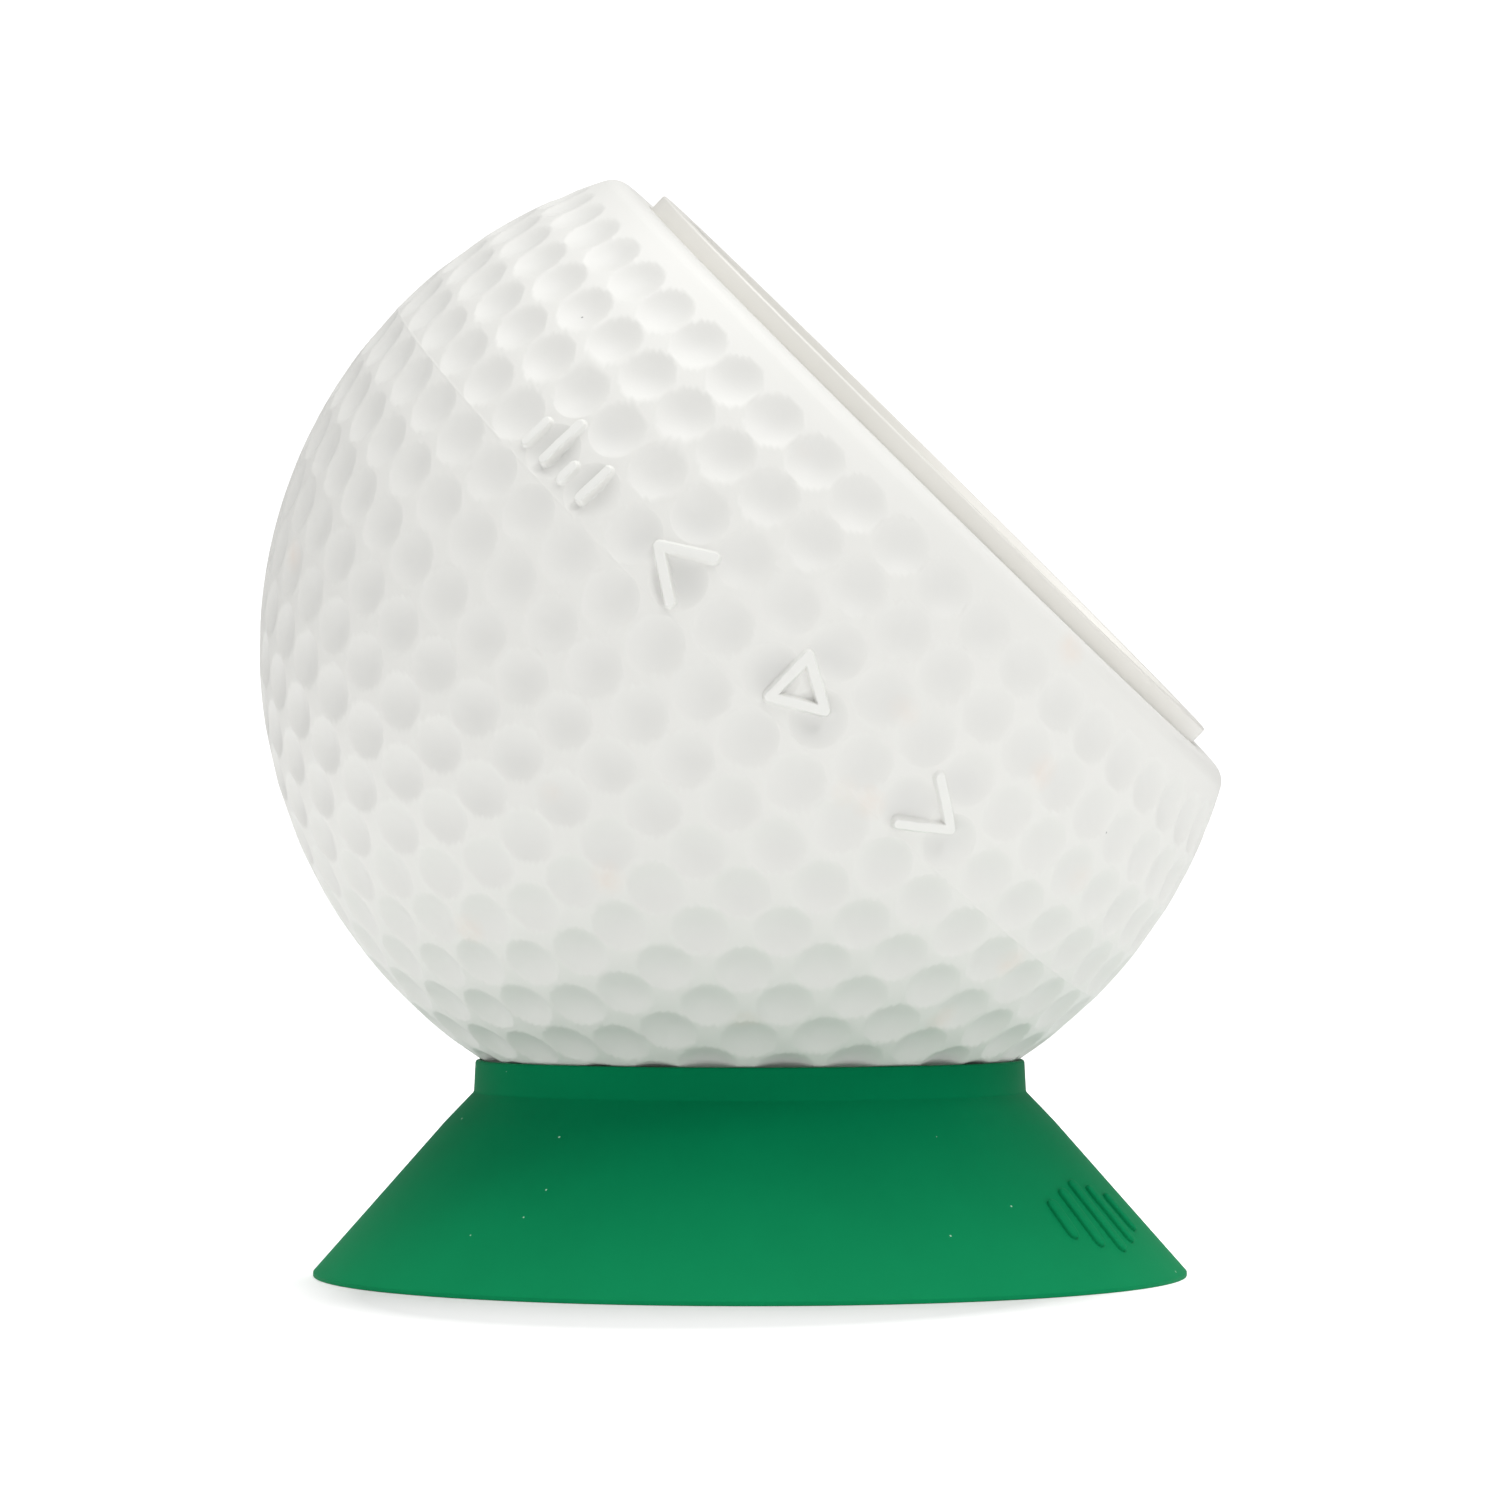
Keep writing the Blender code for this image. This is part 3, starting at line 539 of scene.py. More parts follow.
def skin_belt(name, high, low):
    """A belt of the dimpled skin between two latitudes, with the front lip on the top one."""
    longitudes = skin_longitudes(COLUMN_SPACING)
    columns = len(longitudes)
    latitudes = skin_latitudes(ROW_SPACING)
    lip = high == BELT_EDGES[0]
    latitudes = latitudes[(latitudes >= low - 1e-9) & (latitudes <= high + 1e-9 + lip)]
    lat, lon = (v.ravel() for v in np.meshgrid(latitudes, longitudes, indexing="ij"))
    d = fitted_directions(lat, lon)
    normals = field_normals(d, dimple_field)
    outer = CENTRE + d * (BALL_R + dimple_field(d))[:, None]
    inner = CENTRE + d * SKIN_BACK
    rows = len(latitudes)
    middle_lat = np.repeat((latitudes[:-1] + latitudes[1:]) / 2, columns)
    step_right = (np.roll(longitudes, -1) - longitudes) % 360
    middle_lon = np.tile(longitudes + step_right / 2, rows - 1)
    keep = ~in_opening(middle_lat, middle_lon)
    quads = grid_quads(rows, columns).reshape(-1, 4)[keep]
    thin = skin_thinness_and_shade(d)
    if lip:
        lip_points = lip_outline()[0]
        added = len(lip_points)
        floor_r = np.linspace(LIP_IN + 0.05 * MM, LIP_FLOOR_OUT, added)
        floor = np.stack([floor_r, np.full(added, LIP_FLOOR)], 1)
        outer = np.concatenate([CENTRE + turned_outline(lip_points, longitudes), outer])
        inner = np.concatenate([CENTRE + turned_outline(floor, longitudes), inner])
        normals = np.concatenate([turned_outline(outline_normals(lip_points), longitudes), normals])
        thin = np.concatenate([np.zeros(added * columns), thin])
        quads = np.concatenate([grid_quads(added + 1, columns).reshape(-1, 4),
                                quads + added * columns])
    groups = [quads]
    if low <= -90:
        groups = close_pole(quads, len(outer), columns)
    return shell(name, outer, inner, normals, groups, thin)


def close_pole(quads, count, columns):
    """The last row of a grid is one point, so its quads become triangles."""
    last = quads[:, 1] >= count - columns
    pole = count - columns
    tips = np.stack([quads[last][:, 0], np.full(last.sum(), pole), quads[last][:, 3]], 1)
    return [quads[~last], tips]


def chords(line, every):
    """A row of points drawn straight between every so many of them, as the coarser skin draws it."""
    knots = line[::every]
    share = (np.arange(every) / every)[None, :, None]
    between = knots[:-1, None] * (1 - share) + knots[1:, None] * share
    return np.concatenate([between.reshape(-1, 3), knots[-1:]])


def patch(name, hole, height, back, every, thin, shrink=0.0):
    """The piece that fills an opening: the skin's own grid lines with some more between them,
    fitted to the outline and raised by a field. Its edge follows the skin's edge exactly."""
    longitudes, latitudes = skin_longitudes(COLUMN_SPACING), skin_latitudes(ROW_SPACING)
    turn = (longitudes - hole["longitude"] + 180) % 360 - 180
    x = np.sort(turn[np.abs(turn) < hole["wide"] + 1e-6]) / hole["wide"]
    y = (latitudes - hole["latitude"]) / hole["tall"]
    y = y[np.abs(y) < 1 + 1e-6]
    x, y = (np.interp(np.arange(every * (len(v) - 1) + 1) / every, np.arange(len(v)), v) for v in (x, y))
    place = np.stack(np.meshgrid(x, y), -1).reshape(-1, 2)
    d = on_ball(block_to_outline(place, hole, shrink), hole)
    shape = (len(y), len(x), 3)
    outer = (CENTRE + d * (BALL_R + height(d))[:, None]).reshape(shape)
    normals = field_normals(d, height).reshape(shape)
    for grid in (outer, normals):
        for side in (0, -1):
            grid[side] = chords(grid[side], every)
            grid[:, side] = chords(grid[:, side], every)
    quads = grid_quads(len(y), len(x), wrap=False).reshape(-1, 4)
    return shell(name, outer.reshape(-1, 3), CENTRE + d * back, unit(normals.reshape(-1, 3)), [quads],
                 thin(d))


def skin_thinness_and_shade(d):
    """Share of thinness of the skin, which the finish also uses to paint shade into the dimples' hollows: all of
    it in a dimple's middle, none between the dimples.
    """
    return dimple_bowls(d) ** 0.6


def key_thinness_and_shade(name):
    """A dimple is thin everywhere and carries painted shade in its hollow, and a key's dimples most of all near
    the key's middle, where the skin is a membrane and the greyer dimples also stand for shade round the raised
    symbol; its symbol is thick."""
    _, along, up = KEY_AXES[name]

    def thin(d):
        points = np.stack([d @ along, d @ up], 1) * BALL_R
        reach = np.linalg.norm(points, axis=1) / KEY_R
        # painted shade: dimples near the key's middle grey more, for the shade round the raised symbol as well as
        # the thin membrane
        more = 1 + 0.9 * smoothstep((1 - reach) / 0.4)
        symbol = symbol_mask(points, name)
        return skin_thinness_and_shade(d) * more * (1 - symbol) - symbol
    return thin


# ---------------------------------------------------------------- materials

def new_group(name, inputs, outputs):
    """An empty shader group with named inputs and outputs."""
    group = bpy.data.node_groups.new(name, "ShaderNodeTree")
    for label, kind, value in inputs:
        socket = group.interface.new_socket(label, in_out="INPUT", socket_type=kind)
        if value is not None:
            socket.default_value = value
    for label, kind in outputs:
        group.interface.new_socket(label, in_out="OUTPUT", socket_type=kind)
    enter = group.nodes.new("NodeGroupInput")
    leave = group.nodes.new("NodeGroupOutput")
    return group, enter, leave


def node(tree, kind, links=(), **values):
    """A node with its settings and sockets filled; a link is (input name, output socket)."""
    made = tree.nodes.new(kind)
    for key, value in values.items():
        if hasattr(made, key):
            setattr(made, key, value)
        else:
            made.inputs[key.replace("_", " ").title()].default_value = value
    for key, source in links:
        tree.links.new(source, made.inputs[key])
    return made


def math_node(tree, operation, first, second=None, clamp=False):
    """A Math node's result; each argument is a socket or a number."""
    made = tree.nodes.new("ShaderNodeMath")
    made.operation = operation
    made.use_clamp = clamp
    for socket, value in zip(made.inputs, (first, second)):
        if isinstance(value, bpy.types.NodeSocket):
            tree.links.new(value, socket)
        elif value is not None:
            socket.default_value = value
    return made.outputs[0]


def own_place(tree):
    """Place on the piece, in its own coordinates."""
    return tree.nodes.new("ShaderNodeTexCoord").outputs["Object"]


def seen_directly(tree):
    """1 where the camera looks at the surface itself, 0 for light that bounces off it."""
    return tree.nodes.new("ShaderNodeLightPath").outputs["Is Camera Ray"]


def cells_across(tree, size):
    """A pattern's scale from the size of its cells in millimetres."""
    return math_node(tree, "DIVIDE", 1000.0, size)


FLOAT, VECTOR = "NodeSocketFloat", "NodeSocketVector"


def grain_group():
    """Fine moulded grain as a height, and a slow variation of tone, both from noise."""
    group, enter, leave = new_group(
        "moulded_grain", [("Vector", VECTOR, None), ("Grain Size", FLOAT, 0.3), ("Tone Size", FLOAT, 12.0)],
        [("Height", FLOAT), ("Tone", FLOAT)])
    for size, detail, result in (("Grain Size", 3.0, "Height"), ("Tone Size", 2.0, "Tone")):
        scale = cells_across(group, enter.outputs[size])
        noise = node(group, "ShaderNodeTexNoise", [("Vector", enter.outputs["Vector"]), ("Scale", scale)],
                     detail=detail)
        group.links.new(noise.outputs["Fac"], leave.inputs[result])
    return group


def dust_group():
    """Sparse specks: the points of a cell pattern that fall in a few random cells."""
    group, enter, leave = new_group(
        "dust_specks", [("Vector", VECTOR, None), ("Cell Size", FLOAT, 2.5), ("Speck", FLOAT, 0.05),
                        ("Share", FLOAT, 0.2)], [("Mask", FLOAT)])
    scale = cells_across(group, enter.outputs["Cell Size"])
    cells = node(group, "ShaderNodeTexVoronoi", [("Vector", enter.outputs["Vector"]), ("Scale", scale)])
    near = math_node(group, "LESS_THAN", cells.outputs["Distance"], enter.outputs["Speck"])
    channel = node(group, "ShaderNodeSeparateColor", [("Color", cells.outputs["Color"])])
    chosen = math_node(group, "LESS_THAN", channel.outputs[0], enter.outputs["Share"])
    group.links.new(math_node(group, "MULTIPLY", near, chosen), leave.inputs["Mask"])
    return group


def smudge_group():
    """Faint smudges: soft spots in a few random cells, broken up by noise."""
    group, enter, leave = new_group(
        "smudges", [("Vector", VECTOR, None), ("Cell Size", FLOAT, 8.0), ("Share", FLOAT, 0.22),
                    ("Strength", FLOAT, 0.22)], [("Mask", FLOAT)])
    scale = cells_across(group, enter.outputs["Cell Size"])
    cells = node(group, "ShaderNodeTexVoronoi", [("Vector", enter.outputs["Vector"]), ("Scale", scale)])
    spot = math_node(group, "MULTIPLY", math_node(group, "SUBTRACT", 0.24, cells.outputs["Distance"]),
                     6.0, clamp=True)
    channel = node(group, "ShaderNodeSeparateColor", [("Color", cells.outputs["Color"])])
    chosen = math_node(group, "LESS_THAN", channel.outputs[1], enter.outputs["Share"])
    cloud = node(group, "ShaderNodeTexNoise", [("Vector", enter.outputs["Vector"])], scale=900.0)
    broken = math_node(group, "MULTIPLY", spot, math_node(group, "MULTIPLY", chosen, cloud.outputs["Fac"]))
    group.links.new(math_node(group, "MULTIPLY", broken, enter.outputs["Strength"]), leave.inputs["Mask"])
    return group


def weave_group():
    """Plain weave: two crossed sine bands, the larger of them as the height."""
    group, enter, leave = new_group("plain_weave", [("Vector", VECTOR, None), ("Thread", FLOAT, 0.4)],
                                    [("Height", FLOAT)])
    scale = math_node(group, "DIVIDE", 160.0, enter.outputs["Thread"])
    bands = [node(group, "ShaderNodeTexWave", [("Vector", enter.outputs["Vector"]), ("Scale", scale)],
                  bands_direction=way).outputs["Fac"] for way in ("Y", "DIAGONAL")]
    group.links.new(math_node(group, "MAXIMUM", *bands), leave.inputs["Height"])
    return group


def shared_group(name):
    """A shader group that several finishes share, made when it is first asked for."""
    found = bpy.data.node_groups.get(name)
    return found or {"moulded_grain": grain_group, "dust_specks": dust_group,
                     "smudges": smudge_group, "plain_weave": weave_group}[name]()


def group_node(tree, name, coordinates, **values):
    """A shared group in a finish, with its coordinates linked and its values set."""
    made = tree.nodes.new("ShaderNodeGroup")
    made.node_tree = shared_group(name)
    tree.links.new(coordinates, made.inputs["Vector"])
    for key, value in values.items():
        made.inputs[key.replace("_", " ").title()].default_value = value
    return made


def mix(tree, factor, first, second):
    """A colour mix; each argument is a socket or a value."""
    made = tree.nodes.new("ShaderNodeMix")
    made.data_type = "RGBA"
    for socket, value in ((made.inputs[0], factor), (made.inputs[6], first), (made.inputs[7], second)):
        if isinstance(value, bpy.types.NodeSocket):
            tree.links.new(value, socket)
        else:
            socket.default_value = value
    return made.outputs[2]


def opaque(colour, gain=1.0):
    """A colour times a gain, with full alpha."""
    return (*(min(1.0, c * gain) for c in colour[:3]), 1.0)


def span(tree, value, low, high):
    """A value's 0 to 1 carried to a range."""
    return node(tree, "ShaderNodeMapRange", [(0, value)], to_min=low, to_max=high).outputs[0]


def moulded(name, colour, roughness=0.45, rough_range=0.08, grain=0.3, bump=0.15, tone=0.06,
            metallic=0.0, **sockets):
    """A moulded or metal finish: colour and roughness with a slow variation, grain as bump."""
    made = bpy.data.materials.new(name)
    made.use_nodes = True
    tree = made.node_tree
    shader = tree.nodes["Principled BSDF"]
    where = own_place(tree)
    skin = group_node(tree, "moulded_grain", where, grain_size=grain)
    base = mix(tree, skin.outputs["Tone"], opaque(colour, 1 - tone), opaque(colour, 1 + tone))
    tree.links.new(base, shader.inputs["Base Color"])
    rough = span(tree, skin.outputs["Tone"], roughness - rough_range, roughness + rough_range)
    tree.links.new(rough, shader.inputs["Roughness"])
    relief = node(tree, "ShaderNodeBump", [("Height", skin.outputs["Height"])], strength=bump)
    relief.inputs["Distance"].default_value = 0.05 * MM
    tree.links.new(relief.outputs[0], shader.inputs["Normal"])
    shader.inputs["Metallic"].default_value = metallic
    for key, value in sockets.items():
        shader.inputs[key.replace("_", " ").title().replace("Ior", "IOR")].default_value = value
    return made


def skin_material():
    """White silicone over a dark housing: greyer in the dimples, painted shade in their hollows as well as the
    thin skin over the housing, whiter where it is thick, with a few faint rust-coloured smudges and dark specks."""
    look = settings()
    made = moulded("white_silicone", look.skin_colour, roughness=0.5, grain=0.25, bump=0.1, tone=0.012)
    tree = made.node_tree
    shader = tree.nodes["Principled BSDF"]
    where = own_place(tree)
    plain = shader.inputs["Base Color"].links[0].from_socket
    thin = tree.nodes.new("ShaderNodeAttribute")
    thin.attribute_name = "thinness_and_shade_share"
    # painted shade: the share greys the dimples' hollows, together with the dark housing that shows through the
    # thin skin
    grey = math_node(tree, "MULTIPLY", thin.outputs["Fac"], look.thinness_and_shade_tint, clamp=True)
    base = mix(tree, grey, plain, (0.42, 0.43, 0.44, 1))
    white = math_node(tree, "MULTIPLY", thin.outputs["Fac"], -0.3, clamp=True)
    base = mix(tree, white, base, (0.86, 0.87, 0.84, 1))
    smudge = group_node(tree, "smudges", where)
    base = mix(tree, smudge.outputs["Mask"], base, (0.80, 0.52, 0.36, 1))
    specks = group_node(tree, "dust_specks", where, cell_size=5.0, speck=0.022, share=0.16)
    base = mix(tree, specks.outputs["Mask"], base, (0.30, 0.30, 0.29, 1))
    tree.links.new(base, shader.inputs["Base Color"])
    return made


def foot_material():
    """Green silicone: lighter towards the bottom edge, painted light from the white floor, and darker up under the
    collar, painted shade from the ball; with a pale bloom and a little dust.
    """
    look = settings()
    made = moulded("green_silicone", look.foot_colour, roughness=0.5, grain=0.35, bump=0.2, tone=0.05,
                   sheen_weight=0.03, sheen_roughness=0.3, ior=1.06)
    tree = made.node_tree
    shader = tree.nodes["Principled BSDF"]
    shader.inputs["Sheen Tint"].default_value = (0.75, 0.95, 0.85, 1)
    where = own_place(tree)
    apart = node(tree, "ShaderNodeSeparateXYZ", [("Vector", where)])
    # painted light and shade: the green runs from lighter at the bottom, lit by the floor, to darker up under the
    # collar, shaded by the ball
    rise = node(tree, "ShaderNodeMapRange", [(0, apart.outputs["Z"])], from_max=15 * MM)
    blend = mix(tree, rise.outputs[0], opaque(look.floor_lit_rim_colour), opaque(look.foot_colour))
    grain = group_node(tree, "moulded_grain", where, grain_size=0.5, tone_size=9.0)
    toned = node(tree, "ShaderNodeVectorMath", [(0, blend)], operation="SCALE")
    tree.links.new(span(tree, grain.outputs["Tone"], 0.94, 1.06), toned.inputs["Scale"])
    specks = group_node(tree, "dust_specks", where, cell_size=2.2, speck=0.048, share=0.4)
    base = mix(tree, specks.outputs["Mask"], toned.outputs[0], (0.4, 0.68, 0.5, 1))
    tree.links.new(base, shader.inputs["Base Color"])
    return made


def cloth_material():
    """Black cloth with a plain weave as bump."""
    made = moulded("black_cloth", (0.016, 0.016, 0.018), roughness=0.9, grain=0.2, sheen_weight=0.3)
    tree = made.node_tree
    where = own_place(tree)
    weave = group_node(tree, "plain_weave", where)
    relief = node(tree, "ShaderNodeBump", [("Height", weave.outputs["Height"])], strength=0.8)
    relief.inputs["Distance"].default_value = 0.1 * MM
    tree.links.new(relief.outputs[0], tree.nodes["Principled BSDF"].inputs["Normal"])
    return made


INSIDE = {
    "black_plastic": dict(colour=(0.022, 0.022, 0.024), roughness=0.5),
    "black_rubber": dict(colour=(0.02, 0.02, 0.021), roughness=0.7),
    "paper_cone": dict(colour=(0.05, 0.05, 0.055), roughness=0.8, grain=0.6, bump=0.5),
    "steel": dict(colour=(0.55, 0.56, 0.58), roughness=0.3, metallic=1.0),
    "zinc": dict(colour=(0.42, 0.42, 0.43), roughness=0.42, metallic=1.0, tone=0.12),
    "ferrite": dict(colour=(0.03, 0.03, 0.035), roughness=0.6, grain=0.5, bump=0.4),
    "brass": dict(colour=(0.75, 0.55, 0.22), roughness=0.3, metallic=1.0),
    "copper": dict(colour=(0.72, 0.34, 0.18), roughness=0.35, metallic=1.0),
    "circuit_board": dict(colour=(0.01, 0.11, 0.05), roughness=0.4, tone=0.3),
    "flex_circuit": dict(colour=(0.55, 0.25, 0.04), roughness=0.4, tone=0.15),
    "cell_wrap": dict(colour=(0.02, 0.12, 0.45), roughness=0.35),
    "red_lead": dict(colour=(0.6, 0.02, 0.02), roughness=0.4),
}


def material(name):
    """The finish of a material slot, made when it is first asked for."""
    found = bpy.data.materials.get("finish_" + name)
    if found:
        return found
    look = settings()
    if name == "white_silicone":
        made = skin_material()
    elif name == "ivory_plastic":
        made = moulded(name, look.ring_colour, roughness=0.38, grain=0.4, bump=0.1, tone=0.015)
    elif name == "green_silicone":
        made = foot_material()
    elif name == "black_cloth":
        made = cloth_material()
    else:
        made = moulded(name, **INSIDE[name])
    made.name = "finish_" + name
    return made


def dress(piece, slot, body, *nodes):
    """Give a piece its finish and its body, and hide the CAD nodes that it stands for."""
    piece.data.materials.clear()
    piece.data.materials.append(material(slot))
    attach(piece, body)
    if nodes:
        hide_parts(*nodes)
    return piece


# ---------------------------------------------------------------- operators

class BALLSPEAKER_OT_stage(bpy.types.Operator):
    """Floor, soft lights and the camera"""
    bl_idname = "ball_speaker.stage"
    bl_label = "Stage"

    def execute(self, context):
        add_camera()
        add_lights()
        add_floor()
        return {"FINISHED"}


def add_camera():
    """The camera on the keys' side, looking a little upwards."""
    turn = math.radians(CAMERA_TURN)
    data = bpy.data.cameras.new("camera")
    data.lens = CAMERA_LENS
    data.sensor_width = CAMERA_SENSOR
    data.clip_start = 0.01
    data.clip_end = 20.0
    camera = bpy.data.objects.new("camera", data)
    camera.location = (CENTRE[0] + CAMERA_AWAY * math.sin(turn), -CAMERA_AWAY * math.cos(turn),
                       CAMERA_HEIGHT)
    camera.rotation_euler = Euler((math.radians(90 + CAMERA_PITCH), 0, turn))
    bpy.context.scene.collection.objects.link(camera)
    bpy.context.scene.camera = camera


def area_light(name, place, size, watts):
    """A round white light that faces the ball."""
    data = bpy.data.lights.new(name, "AREA")
    data.shape = "DISK"
    data.size = size
    data.energy = watts
    light = bpy.data.objects.new(name, data)
    light.location = place
    light.rotation_euler = (Vector(CENTRE) - Vector(place)).to_track_quat("-Z", "Y").to_euler()
    bpy.context.scene.collection.objects.link(light)


def add_lights():
    """Soft lights round the ball, and a pale surround that the camera sees as plain white."""
    for values in LIGHTS:
        area_light(*values)
    world = bpy.data.worlds.new("studio")
    world.use_nodes = True
    tree = world.node_tree
    seen = seen_directly(tree)
    strength = span(tree, seen, SURROUND_LIGHT, SURROUND_SEEN)
    tree.links.new(strength, tree.nodes["Background"].inputs["Strength"])
    tree.nodes["Background"].inputs["Color"].default_value = (1, 1, 1, 1)
    bpy.context.scene.world = world
    bpy.context.scene.view_settings.view_transform = "Standard"


def floor_material():
    """Plain white. It glows to the camera, except in an oval before the foot where its shade lies."""
    made = moulded("pale_floor", (0.84, 0.84, 0.84), roughness=0.8, rough_range=0.0, grain=1.0, bump=0.02,
                   tone=0.0, specular_ior_level=0.1, emission_color=(1, 1, 1, 1))
    tree = made.node_tree
    where = own_place(tree)
    oval = node(tree, "ShaderNodeMapping", [("Vector", where)], scale=(1, 0.7, 1))
    oval.inputs["Location"].default_value = (0, 0.014, 0)
    away = node(tree, "ShaderNodeVectorMath", [(0, oval.outputs[0])], operation="LENGTH")
    glow = node(tree, "ShaderNodeMapRange", [(0, away.outputs["Value"])], from_min=SHADE_R,
                from_max=SHADE_END_R, to_max=FLOOR_GLOW)
    seen = seen_directly(tree)
    tree.links.new(math_node(tree, "MULTIPLY", glow.outputs[0], span(tree, seen, 0.5, 1.0)),
                   tree.nodes["Principled BSDF"].inputs["Emission Strength"])
    return made


def add_floor():
    """A round white table top."""
    turn = np.linspace(0, 2 * math.pi, 96, endpoint=False)
    points = FLOOR_R * np.stack([np.cos(turn), np.sin(turn), np.zeros(96)], 1)
    floor = make_mesh("floor", points, [np.arange(96)[None]])
    floor.data.materials.append(floor_material())


class BALLSPEAKER_OT_skin(bpy.types.Operator):
    """Dimpled silicone skin of the ball with its front lip, as four belts"""
    bl_idname = "ball_speaker.skin"
    bl_label = "Dimpled skin"

    def execute(self, context):
        for number, (high, low) in enumerate(zip(BELT_EDGES, BELT_EDGES[1:]), 1):
            dress(skin_belt(f"skin_belt_{number}", high, low), "white_silicone", "ball", "ball_skin")
        return {"FINISHED"}


class BALLSPEAKER_OT_keys(bpy.types.Operator):
    """Four keys that carry on the skin's dimples, with raised symbols"""
    bl_idname = "ball_speaker.keys"
    bl_label = "Keys"

    def execute(self, context):
        for name, hole in zip(KEY_NAMES, OPENINGS):
            pad = patch(f"pad_{name}", hole, key_field(name), KEY_BACK, PAD_FINENESS, key_thinness_and_shade(name))
            dress(pad, "white_silicone", f"{name}_button", f"{name}_key")
        return {"FINISHED"}


def flap_field(d):
    """The dimpled height with a scoop at the flap's lower edge: depth * exp(-x^2 - y^2), x and y over
    the scoop's half width and half height."""
    x = (d @ PORT["along"]) * BALL_R / (3.2 * MM)
    y = ((d @ PORT["up"]) * BALL_R + PORT_HALF[1]) / (1.3 * MM)
    return dimple_field(d) - 0.6 * MM * np.exp(-x ** 2 - y ** 2)


class BALLSPEAKER_OT_port_flap(bpy.types.Operator):
    """Silicone flap over the charging socket, with a scoop for a fingernail"""
    bl_idname = "ball_speaker.port_flap"
    bl_label = "Port flap"

    def execute(self, context):
        flap = patch("flap", PORT, flap_field, FLAP_BACK, 2, skin_thinness_and_shade, shrink=FLAP_GAP)
        dress(flap, "white_silicone", "port_flap", "port_cover")
        return {"FINISHED"}


def ball_lathe(name, outline, columns, **options):
    """A solid turned about the front's axis."""
    return lathe(name, outline, columns, CENTRE, FRONT, BACK_EDGE, **options)


class BALLSPEAKER_OT_front(bpy.types.Operator):
    """Ring, perforated grille and the cloth behind it"""
    bl_idname = "ball_speaker.front"
    bl_label = "Front ring and grille"

    def execute(self, context):
        corners = [(RING_IN + 0.6 * MM, RING_TOP, 0.3 * MM), (RING_R, RING_TOP, 0.22 * MM),
                   (RING_R, LIP_FLOOR, 0.1 * MM), (RING_IN, LIP_FLOOR, 0.1 * MM),
                   (RING_IN, RING_TOP - 0.9 * MM, 0.3 * MM)]
        ring = ball_lathe("trim_ring", rounded(corners), 256)
        dress(ring, "ivory_plastic", "ball", "front_ring")
        dress(perforated_sheet("grille_sheet"), "ivory_plastic", "ball", "grille")
        add_cloth()
        return {"FINISHED"}


def perforated_sheet(name):
    """A crowned sheet of hexagonal cells. Each cell is a ring of 12 quads between its outline and a
    round hole, or a fan of 12 triangles where it has no hole; the edge runs into the ring's groove."""
    look = settings()
    pitch = look.hole_pitch
    reach = np.arange(-int(40 * MM / pitch), int(40 * MM / pitch) + 1)
    i, j = (v.ravel() for v in np.meshgrid(reach, reach))
    middles = np.stack([pitch * (i + j / 2), pitch * math.sqrt(0.75) * j], 1)
    away = np.linalg.norm(middles, axis=1)
    k = np.arange(12)
    n = (k + 1) % 12
    circle = np.stack([np.cos(np.radians(30 * k)), np.sin(np.radians(30 * k))], 1)
    cell = circle * (pitch / 2 * np.where(k % 2, 1 / math.cos(math.pi / 6), 1.0))[:, None]
    open_cells = middles[away < HOLES_OUT]
    plain_cells = middles[(away >= HOLES_OUT) & (away < RING_IN + pitch)]
    rings = open_cells[:, None] + np.concatenate([cell, circle * look.hole_width / 2])
    fans = plain_cells[:, None] + np.concatenate([cell, np.zeros((1, 2))])
    first = np.arange(len(rings))[:, None] * 24
    later = rings.size // 2 + np.arange(len(fans))[:, None] * 13
    quads = np.stack([first + k, first + n, first + 12 + n, first + 12 + k], -1).reshape(-1, 4)
    corners = np.stack([later + k, later + n, later + 12 + 0 * k], -1).reshape(-1, 3)
    flat = np.concatenate([rings.reshape(-1, 2), fans.reshape(-1, 2)])
    _, first, place = np.unique(np.round(flat / (2e-3 * MM)), axis=0, return_index=True,
                                return_inverse=True)
    flat, place = flat[first], place.ravel()
    level = GRILLE_W + GRILLE_CROWN * (1 - (flat ** 2).sum(1) / RING_IN ** 2)
    spread = CENTRE + flat[:, :1] * BACK_EDGE + flat[:, 1:] * RING_SIDE
    points = np.concatenate([spread + (level - drop)[:, None] * FRONT for drop in (0.0, GRILLE_T)])
    piece = make_mesh(name, points, walled([place[corners], place[quads]], len(flat)))
    finish_mesh(piece, 50.0)
    return piece


def add_cloth():
    """A thin round cloth, stretched flat behind the grille."""
    r = np.linspace(0, CLOTH_R, 14)
    top = np.stack([r, np.full(14, CLOTH_TOP) - 0.02 * MM * np.sin(r / (3 * MM))], 1)
    under = np.stack([r[::-1], np.full(14, CLOTH_UNDER)], 1)
    cloth = ball_lathe("cloth_screen", np.concatenate([top, under]), settings().cloth_columns,
                       ends_on_axis=True)
    dress(cloth, "black_cloth", "ball", "grille_cloth")


class BALLSPEAKER_OT_foot(bpy.types.Operator):
    """Suction cup with its collar, and the raised bars on its slope"""
    bl_idname = "ball_speaker.foot"
    bl_label = "Suction foot"

    def execute(self, context):
        cup = lathe("foot_cup", foot_outline(), 256, np.array((CENTRE[0], 0.0, 0.0)))
        dress(cup, "green_silicone", "foot", "suction_cup")
        marks = raised_bars("foot_marks")
        dress(marks, "green_silicone", "foot")
        return {"FINISHED"}


def seat_height(r):
    """Height of the hollow's sphere at a radius, in millimetres."""
    return CENTRE[2] / MM - math.sqrt(SEAT_R ** 2 - r * r)


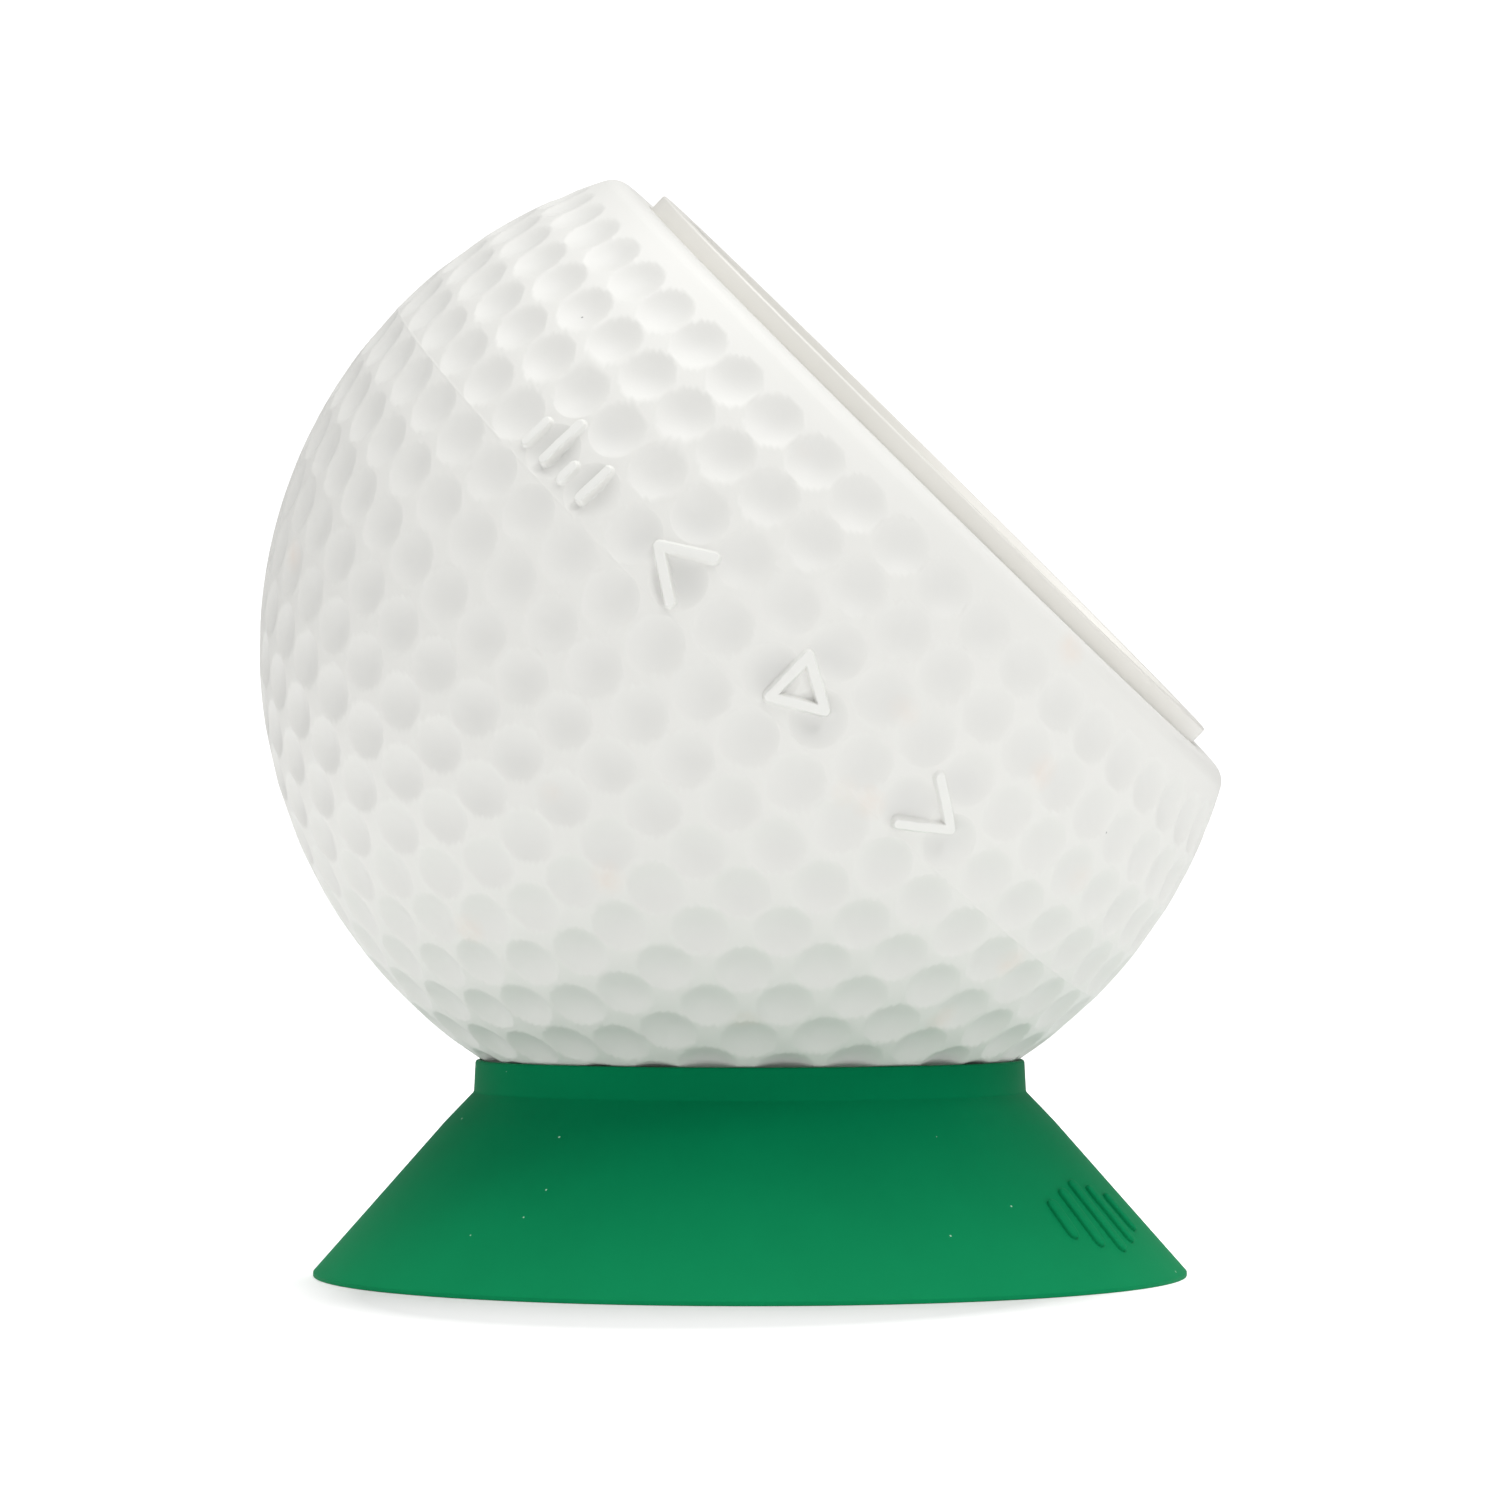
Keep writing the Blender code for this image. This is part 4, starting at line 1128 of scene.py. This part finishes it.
def foot_outline():
    """The cup's section as (radius, height, fillet), in order round it."""
    slope = [(FOOT_R, 0.0, 0.12), (FOOT_R, 0.4, 0.15), (*FOOT_SLOPE[1], 6.0)]
    collar = [(25.35, 16.75, 0.35), (25.2, 19.72, 0.28)]
    seat = [(r, seat_height(r), 0.0) for r in (24.75, 24.0, 22.5, 20.5, 18.2)]
    pocket = [(18.2, 12.1, 0.2), (20.0, 12.1, 0.2), (20.0, 9.6, 0.2), (6.2, 9.6, 0.2), (6.2, 7.8, 0.2),
              (0.001, 7.8, 0.0), (0.001, 6.3, 0.0)]
    hollow = [(26.5, 6.3, 3.0), (31.5, 5.4, 3.0), (38.7, 0.0, 0.15)]
    return rounded(np.array(slope + collar + seat + pocket + hollow)[::-1] * MM, 6)


def raised_bars(name):
    """Five upright bars on the cone with round ends. Each is a dome stretched along the slope: middle
    + cos(v)^0.6 half width (cos(u) A + sin(u) S) + height sin(v)^0.5 n, moved apart along S."""
    edge, top = (np.array(p) * MM for p in FOOT_SLOPE)
    run = unit(top - edge)
    middle = edge + MARKS_UP * (top - edge)
    u = np.linspace(0, 2 * math.pi, 32, endpoint=False)
    v = np.radians(np.linspace(-30, 90, 13))
    up = np.array((0.0, 0.0, 1.0))
    steps = np.arange(1, len(u) - 1)
    cap = np.stack([0 * steps, -steps, -steps - 1], 1) + len(u) - 1
    points, quads, caps = [], [], []
    for k, length in enumerate(MARK_LENGTHS):
        turn = math.radians(MARKS_AT + (k - 2) * MARK_STEP)
        radial = np.array((math.cos(turn), math.sin(turn), 0.0))
        around = np.cross(up, radial)
        slope = run[0] * radial + run[1] * up
        normal = unit(np.cross(around, slope))
        normal *= np.sign(normal[2])
        place = np.array((CENTRE[0], 0, 0)) + middle[0] * radial + middle[1] * up
        ring = np.sign(np.sin(u))[:, None] * slope * (length / 2 - MARK_HALF_WIDTH) * MM
        flat = MARK_HALF_WIDTH * MM * (np.cos(u)[:, None] * around + np.sin(u)[:, None] * slope)
        rise = MARK_RISE * MM * np.sign(v) * np.abs(np.sin(v)) ** 0.5
        body = place + ring + (np.cos(v) ** 0.6)[:, None, None] * flat + rise[:, None, None] * normal
        start = k * len(v) * len(u)
        points.append(body.reshape(-1, 3))
        quads.append(grid_quads(len(v), len(u)).reshape(-1, 4) + start)
        caps.append(cap + start)
    piece = make_mesh(name, np.concatenate(points), [np.concatenate(quads), np.concatenate(caps)])
    finish_mesh(piece)
    return piece


class BALLSPEAKER_OT_inside(bpy.types.Operator):
    """Finishes of the housing, the driver, the boards and everything else inside"""
    bl_idname = "ball_speaker.inside"
    bl_label = "Inner parts"

    def execute(self, context):
        for part in frame["record"]["subparts"]:
            piece = frame["nodes"][part["node"]]
            piece.data.materials.clear()
            piece.data.materials.append(material(part["material_slot"]))
        return {"FINISHED"}


class BALLSPEAKER_PT_panel(bpy.types.Panel):
    """Steps that build the speaker, and its settings"""
    bl_label = "Ball speaker"
    bl_idname = "BALLSPEAKER_PT_panel"
    bl_space_type = "VIEW_3D"
    bl_region_type = "UI"
    bl_category = "Ball speaker"

    def draw(self, context):
        layout = self.layout
        for key in BallSpeakerSettings.__annotations__:
            layout.prop(context.scene.ball_speaker, key)
        for step in STEPS:
            layout.operator(step.bl_idname)


STEPS = (BALLSPEAKER_OT_inside, BALLSPEAKER_OT_skin, BALLSPEAKER_OT_keys, BALLSPEAKER_OT_port_flap,
         BALLSPEAKER_OT_front, BALLSPEAKER_OT_foot, BALLSPEAKER_OT_stage)
CLASSES = (BallSpeakerSettings, *STEPS, BALLSPEAKER_PT_panel)


def register():
    for cls in CLASSES:
        bpy.utils.register_class(cls)
    bpy.types.Scene.ball_speaker = PointerProperty(type=BallSpeakerSettings)


def unregister():
    del bpy.types.Scene.ball_speaker
    for cls in reversed(CLASSES):
        bpy.utils.unregister_class(cls)


def main():
    """Run every step."""
    register()
    for step in STEPS:
        name = step.bl_idname.split(".")[1]
        getattr(bpy.ops.ball_speaker, name)()


if __name__ == "__main__":
    main()
